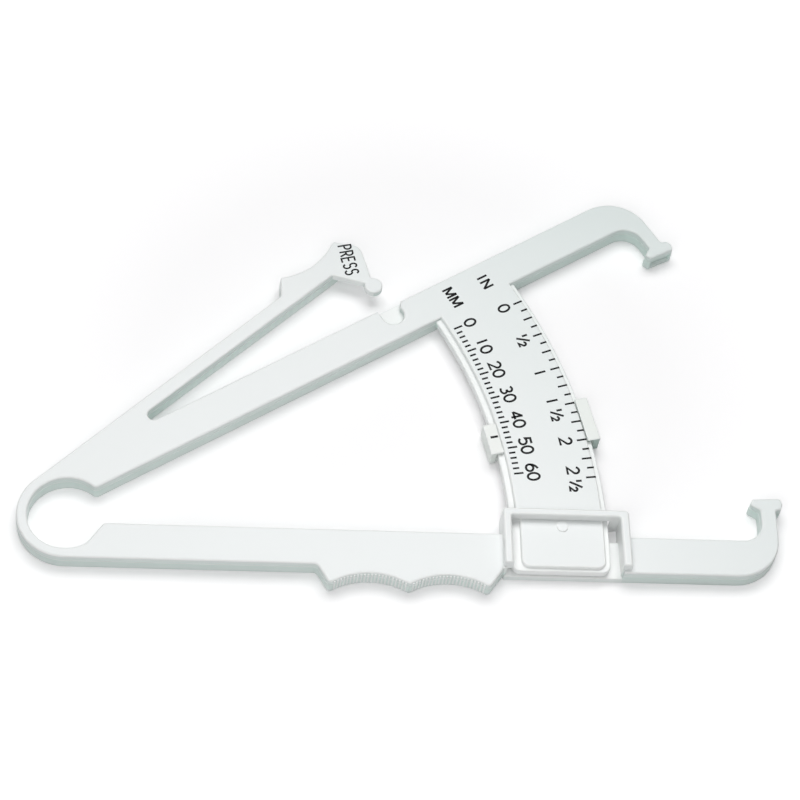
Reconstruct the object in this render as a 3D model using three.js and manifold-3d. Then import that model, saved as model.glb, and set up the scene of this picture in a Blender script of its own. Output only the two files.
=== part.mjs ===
// Skinfold caliper: a one-piece moulding with a ring-shaped spring, two arms, a click lever and a
// curved scale that runs through a guide, plus a loose slider that keeps the reading.
// Millimetres, +Z up, lying on its back. The moulding is cut into separate solids at its bending
// places and at its working members; the cut faces touch and do not overlap.
// The drawing is laid out about the centre of the scale's arcs, with +X along the lower arm.
import * as THREE from 'three';
import { mergeVertices } from 'three/addons/utils/BufferGeometryUtils.js';
import Module from 'manifold-3d';

const wasm = await Module();
wasm.setup();

// Whole moulding
const THICKNESS = 4.8;
const LOWER_INNER = 1.1; // lower arm's edge that faces the upper arm
const LOWER_WIDTH = 8.85;
const OPEN_ANGLE = 31.75; // between the arms as they lie at rest
const UPPER_INNER = -3.9; // upper arm's edge that faces the lower arm, in the upper arm's frame
const UPPER_WIDTH = 8.95;

// Spring ring
const RING_X = 16.8;
const RING_HOLE_RADIUS = 8.55;
const RING_WALL = 2.5;
const RAMP_X = 25.0; // where the lower arm's inner edge turns down into the ring
const RAMP_ANGLE = 54.6;
const RAMP_CREST_RADIUS = 1.2;
const RAMP_FOOT_RADIUS = 3.0;
const CUSP_RADIUS = 0.9; // where the upper arm's inner edge meets the ring

// Thumb lever
const LEVER_ANGLE = 43.42;
const LEVER_INNER = -1.28; // lever's inner edge, carried back to the drawing's centre
const LEVER_SPLAY = 0.375; // degrees between the lever's two edges
const SLIT_END_RADIUS = 1.29;
const FLEXURE_START = 46;
const FLEXURE_END = 50.5;
const PRESS_ANGLE = -8.8; // turn that brings the ball into the socket

// Thumb pad, its points measured along the lever from the pad's start
const PAD_START = 88.7;
const PAD_LEFT_CREST = [3.45, 5.87];
const PAD_RIGHT_CREST = [20.0, 5.4];
const THUMB_DIP_DEPTH = 2.25;
const PAD_SHOULDER = [21.54, 3.32];
const PAD_END = [24.06, 0.4];
const PAD_END_RADIUS = 3.0;
const PAD_FLANK_LOW = [21.29, -5.51];
const PAD_FLANK_HIGH = [23.14, -1.88];

// Nose under the pad and its round click button, measured the same way
const NOSE_START = 13.05;
const NOSE_THICKNESS = 1.6;
const NECK_LEFT = [17.22, -8.52];
const NECK_RIGHT = [19.8, -8.1];
const BALL = [18.54, -10.21];
const BALL_RADIUS = 2.15;

// Socket in the upper arm
const SOCKET_CLEARANCE = 0.4; // round the ball
const SOCKET_UNDER = 0.2; // and under it
const SOCKET_THROAT = 0.15; // room beside the ball at the snap bump
const MOUTH_RIGHT = 4.2; // the mouth's half-widths at its outer end, and its height
const MOUTH_LEFT = 3.2;
const MOUTH_HEIGHT = 4.8;

// Jaws
const LOWER_TIP_X = 173.5;
const LOWER_REACH = 10.8; // from the arm's inner edge to the contact face
const LOWER_TILT = 3.1;
const UPPER_TIP_X = 172.92;
const UPPER_REACH = 10.86;
const UPPER_TILT = 4.35;
const JAW_LENGTH = 10.92; // of the upper arm's end that carries its jaw
const JAW_OUTER_RADIUS = 10;
const JAW_INNER_RADIUS = 4.6;
const NECK_WIDTH = 3.7;
const NECK_ASIDE = 0.1; // neck's middle beyond the contact face's middle
const FOOT_LENGTH = 6.55; // of the contact face
const FOOT_THICKNESS = 3.1;
const HEEL_REACH = 0.8; // the foot's rounded ends beyond the contact face
const TOE_REACH = 0.4;
const FOOT_RADIUS = 0.6;
const TOE_RADIUS = 1.2;
const TOE_SHOULDER = 0.25;

// Guide around the scale's tail
const GUIDE_WALL = 0.65;
const GUIDE_LEFT_ROOM = 1.3; // between the scale's rails and the guide's walls
const GUIDE_RIGHT_ROOM = 2.35;
const GUIDE_FRONT = -7.3;
const GUIDE_BACK = 6.3;
const GUIDE_TOP = 7.1;
const GUIDE_BAR_DEPTH = 2.0;
const GUIDE_BAR_THICKNESS = 2.0;
const GUIDE_STRIP = 1.9;
const GUIDE_CORNER_RADIUS = 1.0;
const FLOOR_TOP = 1.8;
const FLOOR_FRONT = -8.15;

// Finger grips
const GRIP_PITCH = 17.3;
const GRIP_FROM_GUIDE = 29.5; // middle of the first finger hollow, before the guide
const GRIP_DEPTH = 2.0; // material left under a hollow
const FINGER_RADIUS = 16.5;
const CREST_RADIUS = 1.0;
const LEFT_FLANK_ANGLE = 210.7; // directions square to the grip's two sloping ends
const RIGHT_FLANK_ANGLE = 324.8;
const RIB_PITCH = 0.75;
const RIB_DEPTH = 0.25;

// Scale plate
const RAIL_INNER_RADIUS = 114.75;
const PLATE_WIDTH = 22.1;
const INNER_RAIL_WIDTH = 1.4; // rail that shows beside the printed face
const OUTER_RAIL_WIDTH = 1.15;
const PLATE_GAP = 0.3; // between the plate and whatever it runs over or under
const RAIL_TOP = 3.9;
const TAIL_SETBACK = 0.65; // the tail's inner side is straight, just inside the face's arc
const TAIL_TOP_Y = 4.9;
const TAIL_FACE_END = -7.05;
const TAIL_RAIL_END = -7.75;
const TAIL_RAIL_SKEW = 0.15;
const TAIL_CORNER_RADIUS = 2.0;
const ARC_END_Y = [-4, -3]; // where the rail's and the face's arcs give way to the tail
const MARK_ASIDE = 0.375; // round mark sunk into the tail, from the face's middle
const MARK_Y = 3.1;
const MARK_RADIUS = 1.2;
const MARK_DEPTH = 0.15;

// Slider
const SLIDER_ANGLE = 12.8;
const SLIDER_BOTTOM = 0.4;
const SLIDER_TOP = 4.9;
const LIP_GAP = 0.2;
const MM_CLAW_THICKNESS = 1.45;
const MM_CLAW_SPAN = [-4.05, 3.8];
const INCH_CLAW_THICKNESS = 1.65;
const INCH_CLAW_SPAN = [-4.7, 6.65];
const BRIDGE_SPAN = [-3.6, 3.2];

const PLASTIC_COLOUR = 0xeef1f0;
const SLIDER_COLOUR = 0xf2f4f1;
const RIB_PROFILE = [[0.05, 0], [0.45, 0], [0.6, 1], [0.9, 1]]; // share of the pitch, share of the depth
const ARC_STEP = 6; // degrees per facet on small radii
const LONG_ARC_STEP = 1.5; // and on the scale's arcs

const LOWER_OUTER = LOWER_INNER - LOWER_WIDTH;
const UPPER_OUTER = UPPER_INNER + UPPER_WIDTH;
const RING_OUTER_RADIUS = RING_HOLE_RADIUS + RING_WALL;
const RING_Y = LOWER_OUTER + RING_OUTER_RADIUS;
const PLATE_BOTTOM = FLOOR_TOP + PLATE_GAP;
const RAIL_OUTER_RADIUS = RAIL_INNER_RADIUS + PLATE_WIDTH;
const FACE_INNER_RADIUS = RAIL_INNER_RADIUS + INNER_RAIL_WIDTH;
const FACE_OUTER_RADIUS = RAIL_OUTER_RADIUS - OUTER_RAIL_WIDTH;
const TAIL_INNER_X = FACE_INNER_RADIUS + TAIL_SETBACK;
const MARK_X = (FACE_INNER_RADIUS + FACE_OUTER_RADIUS) / 2 + MARK_ASIDE;
const GUIDE_LEFT = RAIL_INNER_RADIUS - GUIDE_LEFT_ROOM - GUIDE_WALL;
const GUIDE_RIGHT = RAIL_OUTER_RADIUS + GUIDE_RIGHT_ROOM + GUIDE_BAR_DEPTH;
const GUIDE_BAR_BOTTOM = GUIDE_TOP - GUIDE_BAR_THICKNESS;
const GRIP_FIRST_X = GUIDE_LEFT - GRIP_FROM_GUIDE;
const JAW_START = UPPER_TIP_X - JAW_LENGTH;
const NOSE_BOTTOM_Z = THICKNESS - NOSE_THICKNESS;
const SOCKET_RADIUS = BALL_RADIUS + SOCKET_CLEARANCE;
const SOCKET_FLOOR = NOSE_BOTTOM_Z - SOCKET_UNDER;
const LIP_BOTTOM = RAIL_TOP + PLATE_GAP;

const cosine = (degrees) => Math.cos(THREE.MathUtils.degToRad(degrees));
const sine = (degrees) => Math.sin(THREE.MathUtils.degToRad(degrees));

/** A point given in a frame that is turned about the drawing's centre. */
function turned(x, y, degrees) {
  return [x * cosine(degrees) - y * sine(degrees), x * sine(degrees) + y * cosine(degrees)];
}

/** The same for a whole outline; a third value on a corner is its radius and is kept. */
function turnedAll(corners, degrees) {
  return corners.map(([x, y, radius]) => [...turned(x, y, degrees), radius]);
}

/** Points along an arc, both ends included. */
function arc(centreX, centreY, radius, from, to, step = ARC_STEP) {
  const count = Math.max(1, Math.ceil(Math.abs(to - from) / step));
  const points = [];
  for (let i = 0; i <= count; i += 1) {
    const angle = from + ((to - from) * i) / count;
    points.push([centreX + radius * cosine(angle), centreY + radius * sine(angle)]);
  }
  return points;
}

function circle(centreX, centreY, radius, sides) {
  return arc(centreX, centreY, radius, 0, 360 - 360 / sides, 360 / sides);
}

/** An outline whose corners [x, y, radius] are rounded; without a radius a corner stays sharp. */
function rounded(corners) {
  const points = [];
  corners.forEach(([x, y, radius], index) => {
    if (!radius) {
      points.push([x, y]);
      return;
    }
    const corner = new THREE.Vector2(x, y);
    const before = new THREE.Vector2(...corners.at(index - 1)).sub(corner).normalize();
    const after = new THREE.Vector2(...corners[(index + 1) % corners.length]).sub(corner).normalize();
    const half = Math.acos(THREE.MathUtils.clamp(before.dot(after), -1, 1)) / 2;
    const bisector = before.clone().add(after).normalize();
    const centre = corner.clone().addScaledVector(bisector, radius / Math.sin(half));
    const first = corner.clone().addScaledVector(before, radius / Math.tan(half)).sub(centre);
    const last = corner.clone().addScaledVector(after, radius / Math.tan(half)).sub(centre);
    const from = THREE.MathUtils.radToDeg(Math.atan2(first.y, first.x));
    let sweep = THREE.MathUtils.radToDeg(Math.atan2(last.y, last.x)) - from;
    if (sweep > 180) {
      sweep -= 360;
    } else if (sweep < -180) {
      sweep += 360;
    }
    points.push(...arc(centre.x, centre.y, radius, from, from + sweep, ARC_STEP * 2));
  });
  return points;
}

/** Where two lines cross, each given by a point and a direction in degrees. */
function crossing([ax, ay], aAngle, [bx, by], bAngle) {
  const along = ((bx - ax) * sine(bAngle) - (by - ay) * cosine(bAngle)) / sine(bAngle - aAngle);
  return [ax + along * cosine(aAngle), ay + along * sine(aAngle)];
}

function toSolid(geometry) {
  geometry.deleteAttribute('normal');
  geometry.deleteAttribute('uv');
  const merged = mergeVertices(geometry, 1e-5);
  const mesh = new wasm.Mesh({
    numProp: 3,
    vertProperties: Float32Array.from(merged.attributes.position.array),
    triVerts: Uint32Array.from(merged.index.array),
  });
  return new wasm.Manifold(mesh);
}

/** A flat piece with the given outline between two heights. */
function slab(points, bottom, top) {
  const shape = new THREE.Shape(points.map(([x, y]) => new THREE.Vector2(x, y)));
  const geometry = new THREE.ExtrudeGeometry(shape, { depth: top - bottom, bevelEnabled: false });
  geometry.translate(0, 0, bottom);
  return toSolid(geometry);
}

/** A straight bar whose section is given in x and z and which runs along y. */
function bar(section, [from, to]) {
  const shape = new THREE.Shape(section.map(([x, z]) => new THREE.Vector2(x, z)));
  const geometry = new THREE.ExtrudeGeometry(shape, { depth: to - from, bevelEnabled: false });
  geometry.rotateX(Math.PI / 2);
  geometry.translate(0, to, 0);
  return toSolid(geometry);
}

const full = (points) => slab(points, 0, THICKNESS);

// ---- Lower arm, finger grip and spring ring

function lowerArm() {
  const offset = (RAMP_X - RING_X) * sine(RAMP_ANGLE) - (LOWER_INNER - RING_Y) * cosine(RAMP_ANGLE);
  const spread = THREE.MathUtils.radToDeg(Math.acos(offset / RING_HOLE_RADIUS));
  const foot = RAMP_ANGLE - 90 - spread;
  return full(rounded([
    [RING_X, LOWER_OUTER],
    [GUIDE_LEFT, LOWER_OUTER],
    [GUIDE_LEFT, LOWER_INNER],
    [RAMP_X, LOWER_INNER, RAMP_CREST_RADIUS],
    [RING_X + RING_HOLE_RADIUS * cosine(foot), RING_Y + RING_HOLE_RADIUS * sine(foot), RAMP_FOOT_RADIUS],
    ...arc(RING_X, RING_Y, RING_HOLE_RADIUS, foot - ARC_STEP, -90),
  ]));
}

function springRing() {
  const top = 90 + LEVER_ANGLE;
  return full([
    ...arc(RING_X, RING_Y, RING_OUTER_RADIUS, top, 270, ARC_STEP / 1.5),
    ...arc(RING_X, RING_Y, RING_HOLE_RADIUS, 270, top, ARC_STEP / 1.5),
  ]);
}

/** Ribbed hollow for one finger, from its left crest to its right crest. */
function fingerHollow(x, centreY, reach) {
  const length = THREE.MathUtils.degToRad(180 - 2 * reach) * FINGER_RADIUS;
  const ribs = Math.floor(length / RIB_PITCH);
  const pitch = (180 - 2 * reach) / ribs;
  const points = [];
  for (let rib = 0; rib < ribs; rib += 1) {
    const start = 180 - reach - rib * pitch;
    RIB_PROFILE.forEach(([share, level]) => {
      const radius = FINGER_RADIUS + level * RIB_DEPTH;
      const angle = start - share * pitch;
      points.push([x + radius * cosine(angle), centreY + radius * sine(angle)]);
    });
  }
  return points;
}

function fingerGrip() {
  const hollowY = LOWER_OUTER - GRIP_DEPTH - FINGER_RADIUS;
  const rise = Math.sqrt((FINGER_RADIUS + CREST_RADIUS) ** 2 - (GRIP_PITCH / 2) ** 2);
  const crestY = hollowY + rise;
  const reach = THREE.MathUtils.radToDeg(Math.atan2(rise, GRIP_PITCH / 2));
  const crestX = (index) => GRIP_FIRST_X + (index - 0.5) * GRIP_PITCH;
  const lift = LOWER_OUTER - crestY;
  const flankFoot = (x, angle) => x + (CREST_RADIUS - lift * sine(angle)) / cosine(angle);
  return full([
    [flankFoot(crestX(0), LEFT_FLANK_ANGLE), LOWER_OUTER],
    ...arc(crestX(0), crestY, CREST_RADIUS, LEFT_FLANK_ANGLE, 360 - reach, ARC_STEP * 2),
    ...fingerHollow(GRIP_FIRST_X, hollowY, reach),
    ...arc(crestX(1), crestY, CREST_RADIUS, 180 + reach, 360 - reach, ARC_STEP * 2),
    ...fingerHollow(GRIP_FIRST_X + GRIP_PITCH, hollowY, reach),
    ...arc(crestX(2), crestY, CREST_RADIUS, 180 + reach, RIGHT_FLANK_ANGLE, ARC_STEP * 2),
    [flankFoot(crestX(2), RIGHT_FLANK_ANGLE), LOWER_OUTER],
  ]);
}

// ---- Jaws

/** End of an arm along +X with its hooked jaw towards +Y, as an outline with rounded corners. */
function jaw(start, inner, outer, tipX, reach, tilt) {
  const tipY = inner + reach;
  const foot = (along, down) => [
    tipX + along * cosine(tilt) + down * sine(tilt),
    tipY + along * sine(tilt) - down * cosine(tilt),
  ];
  const half = FOOT_LENGTH / 2;
  const neckInner = tipX + NECK_ASIDE - NECK_WIDTH / 2;
  const neckOuter = tipX + NECK_ASIDE + NECK_WIDTH / 2;
  const toeY = tipY - FOOT_THICKNESS;
  return rounded([
    [start, outer],
    [neckOuter, outer, JAW_OUTER_RADIUS],
    [neckOuter, toeY, FOOT_RADIUS],
    [...foot(half - TOE_SHOULDER, FOOT_THICKNESS), FOOT_RADIUS],
    [...foot(half + TOE_REACH, FOOT_THICKNESS / 2), TOE_RADIUS],
    [...foot(half, 0), FOOT_RADIUS],
    [...foot(-half, 0), FOOT_RADIUS],
    [...foot(-half - HEEL_REACH, FOOT_THICKNESS / 2), FOOT_RADIUS],
    [neckInner, toeY, FOOT_RADIUS],
    [neckInner, inner, JAW_INNER_RADIUS],
    [start, inner],
  ]);
}

function lowerJaw() {
  return full(jaw(GUIDE_RIGHT, LOWER_INNER, FLOOR_FRONT, LOWER_TIP_X, LOWER_REACH, LOWER_TILT));
}

function upperJaw() {
  const outline = jaw(JAW_START, -UPPER_INNER, -UPPER_OUTER, UPPER_TIP_X, UPPER_REACH, UPPER_TILT);
  return full(turnedAll(outline.map(([x, y]) => [x, -y]), OPEN_ANGLE));
}

// ---- Upper arm, its socket and the lever

const leverInner = (x) => LEVER_INNER - x * Math.tan(THREE.MathUtils.degToRad(LEVER_SPLAY));
const LEVER_OUTER = RING_OUTER_RADIUS - RING_X * sine(LEVER_ANGLE) + RING_Y * cosine(LEVER_ANGLE);
const PRESS_X = (FLEXURE_START + FLEXURE_END) / 2;
const PRESS_Y = (LEVER_OUTER + leverInner(PRESS_X)) / 2;
const pressHinge = turned(PRESS_X, PRESS_Y, LEVER_ANGLE);
const onPad = ([x, y]) => turned(PAD_START + x, y, LEVER_ANGLE);
const ballCentre = onPad(BALL);
const throwArm = [ballCentre[0] - pressHinge[0], ballCentre[1] - pressHinge[1]];
const swung = turned(...throwArm, PRESS_ANGLE);
const socketCentre = [pressHinge[0] + swung[0], pressHinge[1] + swung[1]];

function upperArm() {
  const ringLevel = RING_Y * cosine(OPEN_ANGLE) - RING_X * sine(OPEN_ANGLE);
  const rise = (UPPER_INNER - ringLevel) / RING_HOLE_RADIUS;
  const cusp = OPEN_ANGLE + THREE.MathUtils.radToDeg(Math.asin(rise));
  const slitApex = crossing(
    turned(0, UPPER_OUTER, OPEN_ANGLE),
    OPEN_ANGLE,
    turned(0, LEVER_INNER, LEVER_ANGLE),
    LEVER_ANGLE - LEVER_SPLAY,
  );
  const ringTop = 90 + LEVER_ANGLE;
  const body = full(rounded([
    ...arc(RING_X, RING_Y, RING_HOLE_RADIUS, ringTop, cusp + ARC_STEP),
    [RING_X + RING_HOLE_RADIUS * cosine(cusp), RING_Y + RING_HOLE_RADIUS * sine(cusp), CUSP_RADIUS],
    turned(JAW_START, UPPER_INNER, OPEN_ANGLE),
    turned(JAW_START, UPPER_OUTER, OPEN_ANGLE),
    [...slitApex, SLIT_END_RADIUS],
    turned(FLEXURE_START, leverInner(FLEXURE_START), LEVER_ANGLE),
    turned(FLEXURE_START, LEVER_OUTER, LEVER_ANGLE),
    ...arc(RING_X, RING_Y, RING_OUTER_RADIUS, ringTop, ringTop),
  ]));
  return body.subtract(socket());
}

/** Round pocket for the ball with its mouth on the lever's side; one lip carries the snap bump. */
function socket() {
  const [x, y] = socketCentre;
  const entry = THREE.MathUtils.radToDeg(Math.atan2(swung[1], swung[0]));
  const throat = BALL_RADIUS + SOCKET_THROAT;
  const bumpHeight = Math.sqrt(SOCKET_RADIUS ** 2 - throat ** 2);
  const mouth = turnedAll([
    [-SOCKET_RADIUS, 0],
    [throat, 0],
    [throat, bumpHeight],
    [MOUTH_RIGHT, MOUTH_HEIGHT],
    [-MOUTH_LEFT, MOUTH_HEIGHT],
  ], entry).map(([mx, my]) => [x + mx, y + my]);
  const above = 2 * THICKNESS;
  return slab(circle(x, y, SOCKET_RADIUS, 36), SOCKET_FLOOR, above).add(slab(mouth, SOCKET_FLOOR, above));
}

function leverStrip(from, to) {
  const corners = [[from, leverInner(from)], [to, leverInner(to)], [to, LEVER_OUTER], [from, LEVER_OUTER]];
  return full(turnedAll(corners, LEVER_ANGLE));
}

const NOSE_LEFT = [NOSE_START, leverInner(PAD_START + NOSE_START)];
const FLANK_HEIGHT = PAD_FLANK_HIGH[1] - PAD_FLANK_LOW[1];
const FLANK_SHARE = (NOSE_LEFT[1] - PAD_FLANK_LOW[1]) / FLANK_HEIGHT;
const FLANK_RUN = PAD_FLANK_HIGH[0] - PAD_FLANK_LOW[0];
const NOSE_RIGHT = [PAD_FLANK_LOW[0] + FLANK_SHARE * FLANK_RUN, NOSE_LEFT[1]];

/** Hollow for the thumb, from its right crest to its left crest. */
function thumbDip() {
  const [leftX, leftY] = PAD_LEFT_CREST;
  const [rightX, rightY] = PAD_RIGHT_CREST;
  const chord = Math.hypot(rightX - leftX, rightY - leftY);
  const tilt = THREE.MathUtils.radToDeg(Math.atan2(rightY - leftY, rightX - leftX));
  const radius = (chord ** 2 / 4 + THUMB_DIP_DEPTH ** 2) / (2 * THUMB_DIP_DEPTH);
  const half = THREE.MathUtils.radToDeg(Math.asin(chord / 2 / radius));
  const rise = radius - THUMB_DIP_DEPTH;
  const dipX = (leftX + rightX) / 2 - rise * sine(tilt);
  const dipY = (leftY + rightY) / 2 + rise * cosine(tilt);
  return arc(dipX, dipY, radius, 270 + tilt + half, 270 + tilt - half, 4);
}

function thumbPad() {
  const outline = rounded([
    [0, leverInner(PAD_START)],
    NOSE_LEFT,
    NOSE_RIGHT,
    PAD_FLANK_HIGH,
    [...PAD_END, PAD_END_RADIUS],
    PAD_SHOULDER,
    ...thumbDip(),
    [0, LEVER_OUTER],
  ]);
  return full(outline.map(onPad));
}

/** Thin nose under the thumb pad with the round button that clicks into the socket. */
function clickNose() {
  const [ballX, ballY] = BALL;
  const reach = BALL_RADIUS / 2;
  const outline = [
    NOSE_LEFT,
    NECK_LEFT,
    [ballX - reach, ballY],
    [ballX + reach, ballY],
    NECK_RIGHT,
    PAD_FLANK_LOW,
    NOSE_RIGHT,
  ];
  const nose = slab(outline.map(onPad), NOSE_BOTTOM_Z, THICKNESS);
  return nose.add(slab(circle(...ballCentre, BALL_RADIUS, 36), NOSE_BOTTOM_Z, THICKNESS));
}

// ---- Scale plate

function scalePlate() {
  const upperEnd = (radius) => OPEN_ANGLE + THREE.MathUtils.radToDeg(Math.asin(UPPER_INNER / radius));
  const lowerEnd = (radius, y) => THREE.MathUtils.radToDeg(Math.asin(y / radius));
  const [railEnd, faceEnd] = ARC_END_Y;
  const edge = (radius, from, to) => arc(0, 0, radius, from, to, LONG_ARC_STEP);
  const inner = RAIL_INNER_RADIUS;
  const outer = RAIL_OUTER_RADIUS;
  const flange = slab(rounded([
    ...edge(inner, upperEnd(inner), lowerEnd(inner, railEnd)),
    [inner - TAIL_RAIL_SKEW, TAIL_RAIL_END, TAIL_CORNER_RADIUS],
    [outer - TAIL_RAIL_SKEW, TAIL_RAIL_END, TAIL_CORNER_RADIUS],
    ...edge(outer, lowerEnd(outer, railEnd), upperEnd(outer)),
  ]), PLATE_BOTTOM, RAIL_TOP);
  const tail = lowerEnd(FACE_INNER_RADIUS, TAIL_TOP_Y);
  const face = slab(rounded([
    ...edge(FACE_INNER_RADIUS, upperEnd(FACE_INNER_RADIUS), tail),
    [TAIL_INNER_X, TAIL_TOP_Y],
    [TAIL_INNER_X, TAIL_FACE_END, TAIL_CORNER_RADIUS],
    [FACE_OUTER_RADIUS, TAIL_FACE_END, TAIL_CORNER_RADIUS],
    ...edge(FACE_OUTER_RADIUS, lowerEnd(FACE_OUTER_RADIUS, faceEnd), upperEnd(FACE_OUTER_RADIUS)),
  ]), PLATE_BOTTOM, THICKNESS);
  const mark = slab(circle(MARK_X, MARK_Y, MARK_RADIUS, 24), THICKNESS - MARK_DEPTH, 2 * THICKNESS);
  return flange.add(face).subtract(mark);
}

// ---- Guide

function guideLeft() {
  const wall = GUIDE_LEFT + GUIDE_WALL;
  const strip = GUIDE_LEFT + GUIDE_STRIP;
  return bar([
    [GUIDE_LEFT, 0],
    [wall, 0],
    [wall, GUIDE_BAR_BOTTOM],
    [strip, GUIDE_BAR_BOTTOM],
    [strip, GUIDE_TOP],
    [GUIDE_LEFT, GUIDE_TOP],
  ], [GUIDE_FRONT, GUIDE_BACK]);
}

function guideRight() {
  const inner = GUIDE_RIGHT - GUIDE_BAR_DEPTH;
  return slab(rounded([
    [inner, GUIDE_FRONT],
    [GUIDE_RIGHT, GUIDE_FRONT],
    [GUIDE_RIGHT, GUIDE_BACK, GUIDE_CORNER_RADIUS],
    [inner, GUIDE_BACK],
  ]), 0, GUIDE_TOP);
}

const rectangle = (x0, y0, x1, y1) => [[x0, y0], [x1, y0], [x1, y1], [x0, y1]];

function guideBar() {
  const left = GUIDE_LEFT + GUIDE_STRIP;
  const right = GUIDE_RIGHT - GUIDE_BAR_DEPTH;
  const outline = rectangle(left, GUIDE_BACK - GUIDE_BAR_DEPTH, right, GUIDE_BACK);
  return slab(outline, GUIDE_BAR_BOTTOM, GUIDE_TOP);
}

function guideFloor() {
  const left = GUIDE_LEFT + GUIDE_WALL;
  const right = GUIDE_RIGHT - GUIDE_BAR_DEPTH;
  return slab(rectangle(left, FLOOR_FRONT, right, LOWER_INNER), 0, FLOOR_TOP);
}

// ---- Slider, drawn in a frame turned to its place on the scale

const MM_WALL_INNER = RAIL_INNER_RADIUS - PLATE_GAP;
const INCH_WALL_INNER = RAIL_OUTER_RADIUS + PLATE_GAP;

function claw(outer, wall, lip, span) {
  const section = [
    [outer, SLIDER_BOTTOM],
    [wall, SLIDER_BOTTOM],
    [wall, LIP_BOTTOM],
    [lip, LIP_BOTTOM],
    [lip, SLIDER_TOP],
    [outer, SLIDER_TOP],
  ];
  return bar(section, span).rotate([0, 0, SLIDER_ANGLE]);
}

function mmClaw() {
  const outer = MM_WALL_INNER - MM_CLAW_THICKNESS;
  return claw(outer, MM_WALL_INNER, FACE_INNER_RADIUS - LIP_GAP, MM_CLAW_SPAN);
}

function inchClaw() {
  const outer = INCH_WALL_INNER + INCH_CLAW_THICKNESS;
  return claw(outer, INCH_WALL_INNER, FACE_OUTER_RADIUS + LIP_GAP, INCH_CLAW_SPAN);
}

function sliderBridge() {
  const outline = rectangle(MM_WALL_INNER, BRIDGE_SPAN[0], INCH_WALL_INNER, BRIDGE_SPAN[1]);
  return slab(turnedAll(outline, SLIDER_ANGLE), SLIDER_BOTTOM, FLOOR_TOP);
}

// ---- Assembly

function toMesh(name, solid, colour) {
  const { vertProperties, triVerts } = solid.getMesh();
  const geometry = new THREE.BufferGeometry();
  geometry.setAttribute('position', new THREE.BufferAttribute(Float32Array.from(vertProperties), 3));
  geometry.setIndex(new THREE.BufferAttribute(Uint32Array.from(triVerts), 1));
  geometry.computeVertexNormals();
  const material = new THREE.MeshStandardMaterial({ color: colour, roughness: 0.35, metalness: 0 });
  const mesh = new THREE.Mesh(geometry, material);
  mesh.name = name;
  return mesh;
}

function assembly(name, pieces, colour) {
  const group = new THREE.Group();
  group.name = name;
  Object.entries(pieces).forEach(([piece, solid]) => group.add(toMesh(piece, solid, colour)));
  return group;
}

const lower = assembly('lower_half', {
  lower_arm: lowerArm(),
  finger_grip: fingerGrip(),
  lower_jaw: lowerJaw(),
  guide_floor: guideFloor(),
  guide_left_wall: guideLeft(),
  guide_right_wall: guideRight(),
  guide_bar: guideBar(),
}, PLASTIC_COLOUR);

const upper = assembly('upper_half', {
  spring_ring: springRing(),
  upper_arm: upperArm(),
  upper_jaw: upperJaw(),
  scale_plate: scalePlate(),
  lever_flexure: leverStrip(FLEXURE_START, FLEXURE_END),
}, PLASTIC_COLOUR);

const lever = assembly('click_lever', {
  thumb_lever: leverStrip(FLEXURE_END, PAD_START),
  thumb_pad: thumbPad(),
  click_nose: clickNose(),
}, PLASTIC_COLOUR);

const slider = assembly('slider', {
  slider_bridge: sliderBridge(),
  slider_mm_claw: mmClaw(),
  slider_inch_claw: inchClaw(),
}, SLIDER_COLOUR);

const caliper = new THREE.Group();
caliper.name = 'skinfold_caliper';
caliper.add(lower, upper, lever, slider);

// The origin is the middle of the footprint, on the table.
const footprint = new THREE.Box3().setFromObject(caliper);
const middle = footprint.getCenter(new THREE.Vector3()).setZ(0);
caliper.traverse((node) => {
  if (node.isMesh) {
    node.geometry.translate(-middle.x, -middle.y, 0);
  }
});

export default caliper;
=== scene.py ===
"""Looks of the skinfold caliper: a white one-piece moulding and its loose slider.

The drawing is in millimetres about the centre of the scale's arcs, with +X along the lower arm, and
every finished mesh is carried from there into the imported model's frame, in metres.
"""

import logging
import math
from collections.abc import Callable, Iterable, Sequence
from dataclasses import dataclass, field
from enum import Enum
from typing import NamedTuple

import bmesh
import bpy
from mathutils import Matrix, Vector

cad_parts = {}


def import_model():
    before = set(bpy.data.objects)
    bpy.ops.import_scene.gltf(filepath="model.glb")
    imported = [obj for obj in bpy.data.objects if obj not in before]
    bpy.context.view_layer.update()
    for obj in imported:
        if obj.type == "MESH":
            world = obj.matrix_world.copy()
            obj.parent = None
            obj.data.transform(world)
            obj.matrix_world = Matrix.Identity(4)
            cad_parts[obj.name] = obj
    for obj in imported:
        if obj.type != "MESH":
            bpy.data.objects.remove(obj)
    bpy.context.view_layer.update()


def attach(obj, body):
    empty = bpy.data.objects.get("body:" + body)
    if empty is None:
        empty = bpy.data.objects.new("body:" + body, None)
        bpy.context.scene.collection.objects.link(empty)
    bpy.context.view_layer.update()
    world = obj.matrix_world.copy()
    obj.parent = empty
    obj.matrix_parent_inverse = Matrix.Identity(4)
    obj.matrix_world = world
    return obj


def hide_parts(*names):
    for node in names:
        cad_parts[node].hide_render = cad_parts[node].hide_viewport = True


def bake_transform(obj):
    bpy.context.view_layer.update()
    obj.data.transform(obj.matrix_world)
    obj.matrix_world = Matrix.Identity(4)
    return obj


LOG = logging.getLogger("skinfold_caliper")
IMAGE_SIZE = 800
PAINTED_LIGHT_LAYER = "painted_light"
WHITE = (1.0, 1.0, 1.0)
NEARLY_STRAIGHT = 0.02
FLAT = 0.99
FINE_STEP = 3.0


class Body(Enum):
    """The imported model's moving bodies."""

    LOWER = "lower_half"
    UPPER = "upper_half"
    LEVER = "click_lever"
    SLIDER = "slider"


class Slot(Enum):
    """The material slots."""

    BODY = "body"
    SLIDER = "slider"


class Corner(NamedTuple):
    """A corner of an outline; the side after an open one is a cut face with no edge finish."""

    x: float
    y: float
    radius: float = 0.0
    open: bool = False


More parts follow.
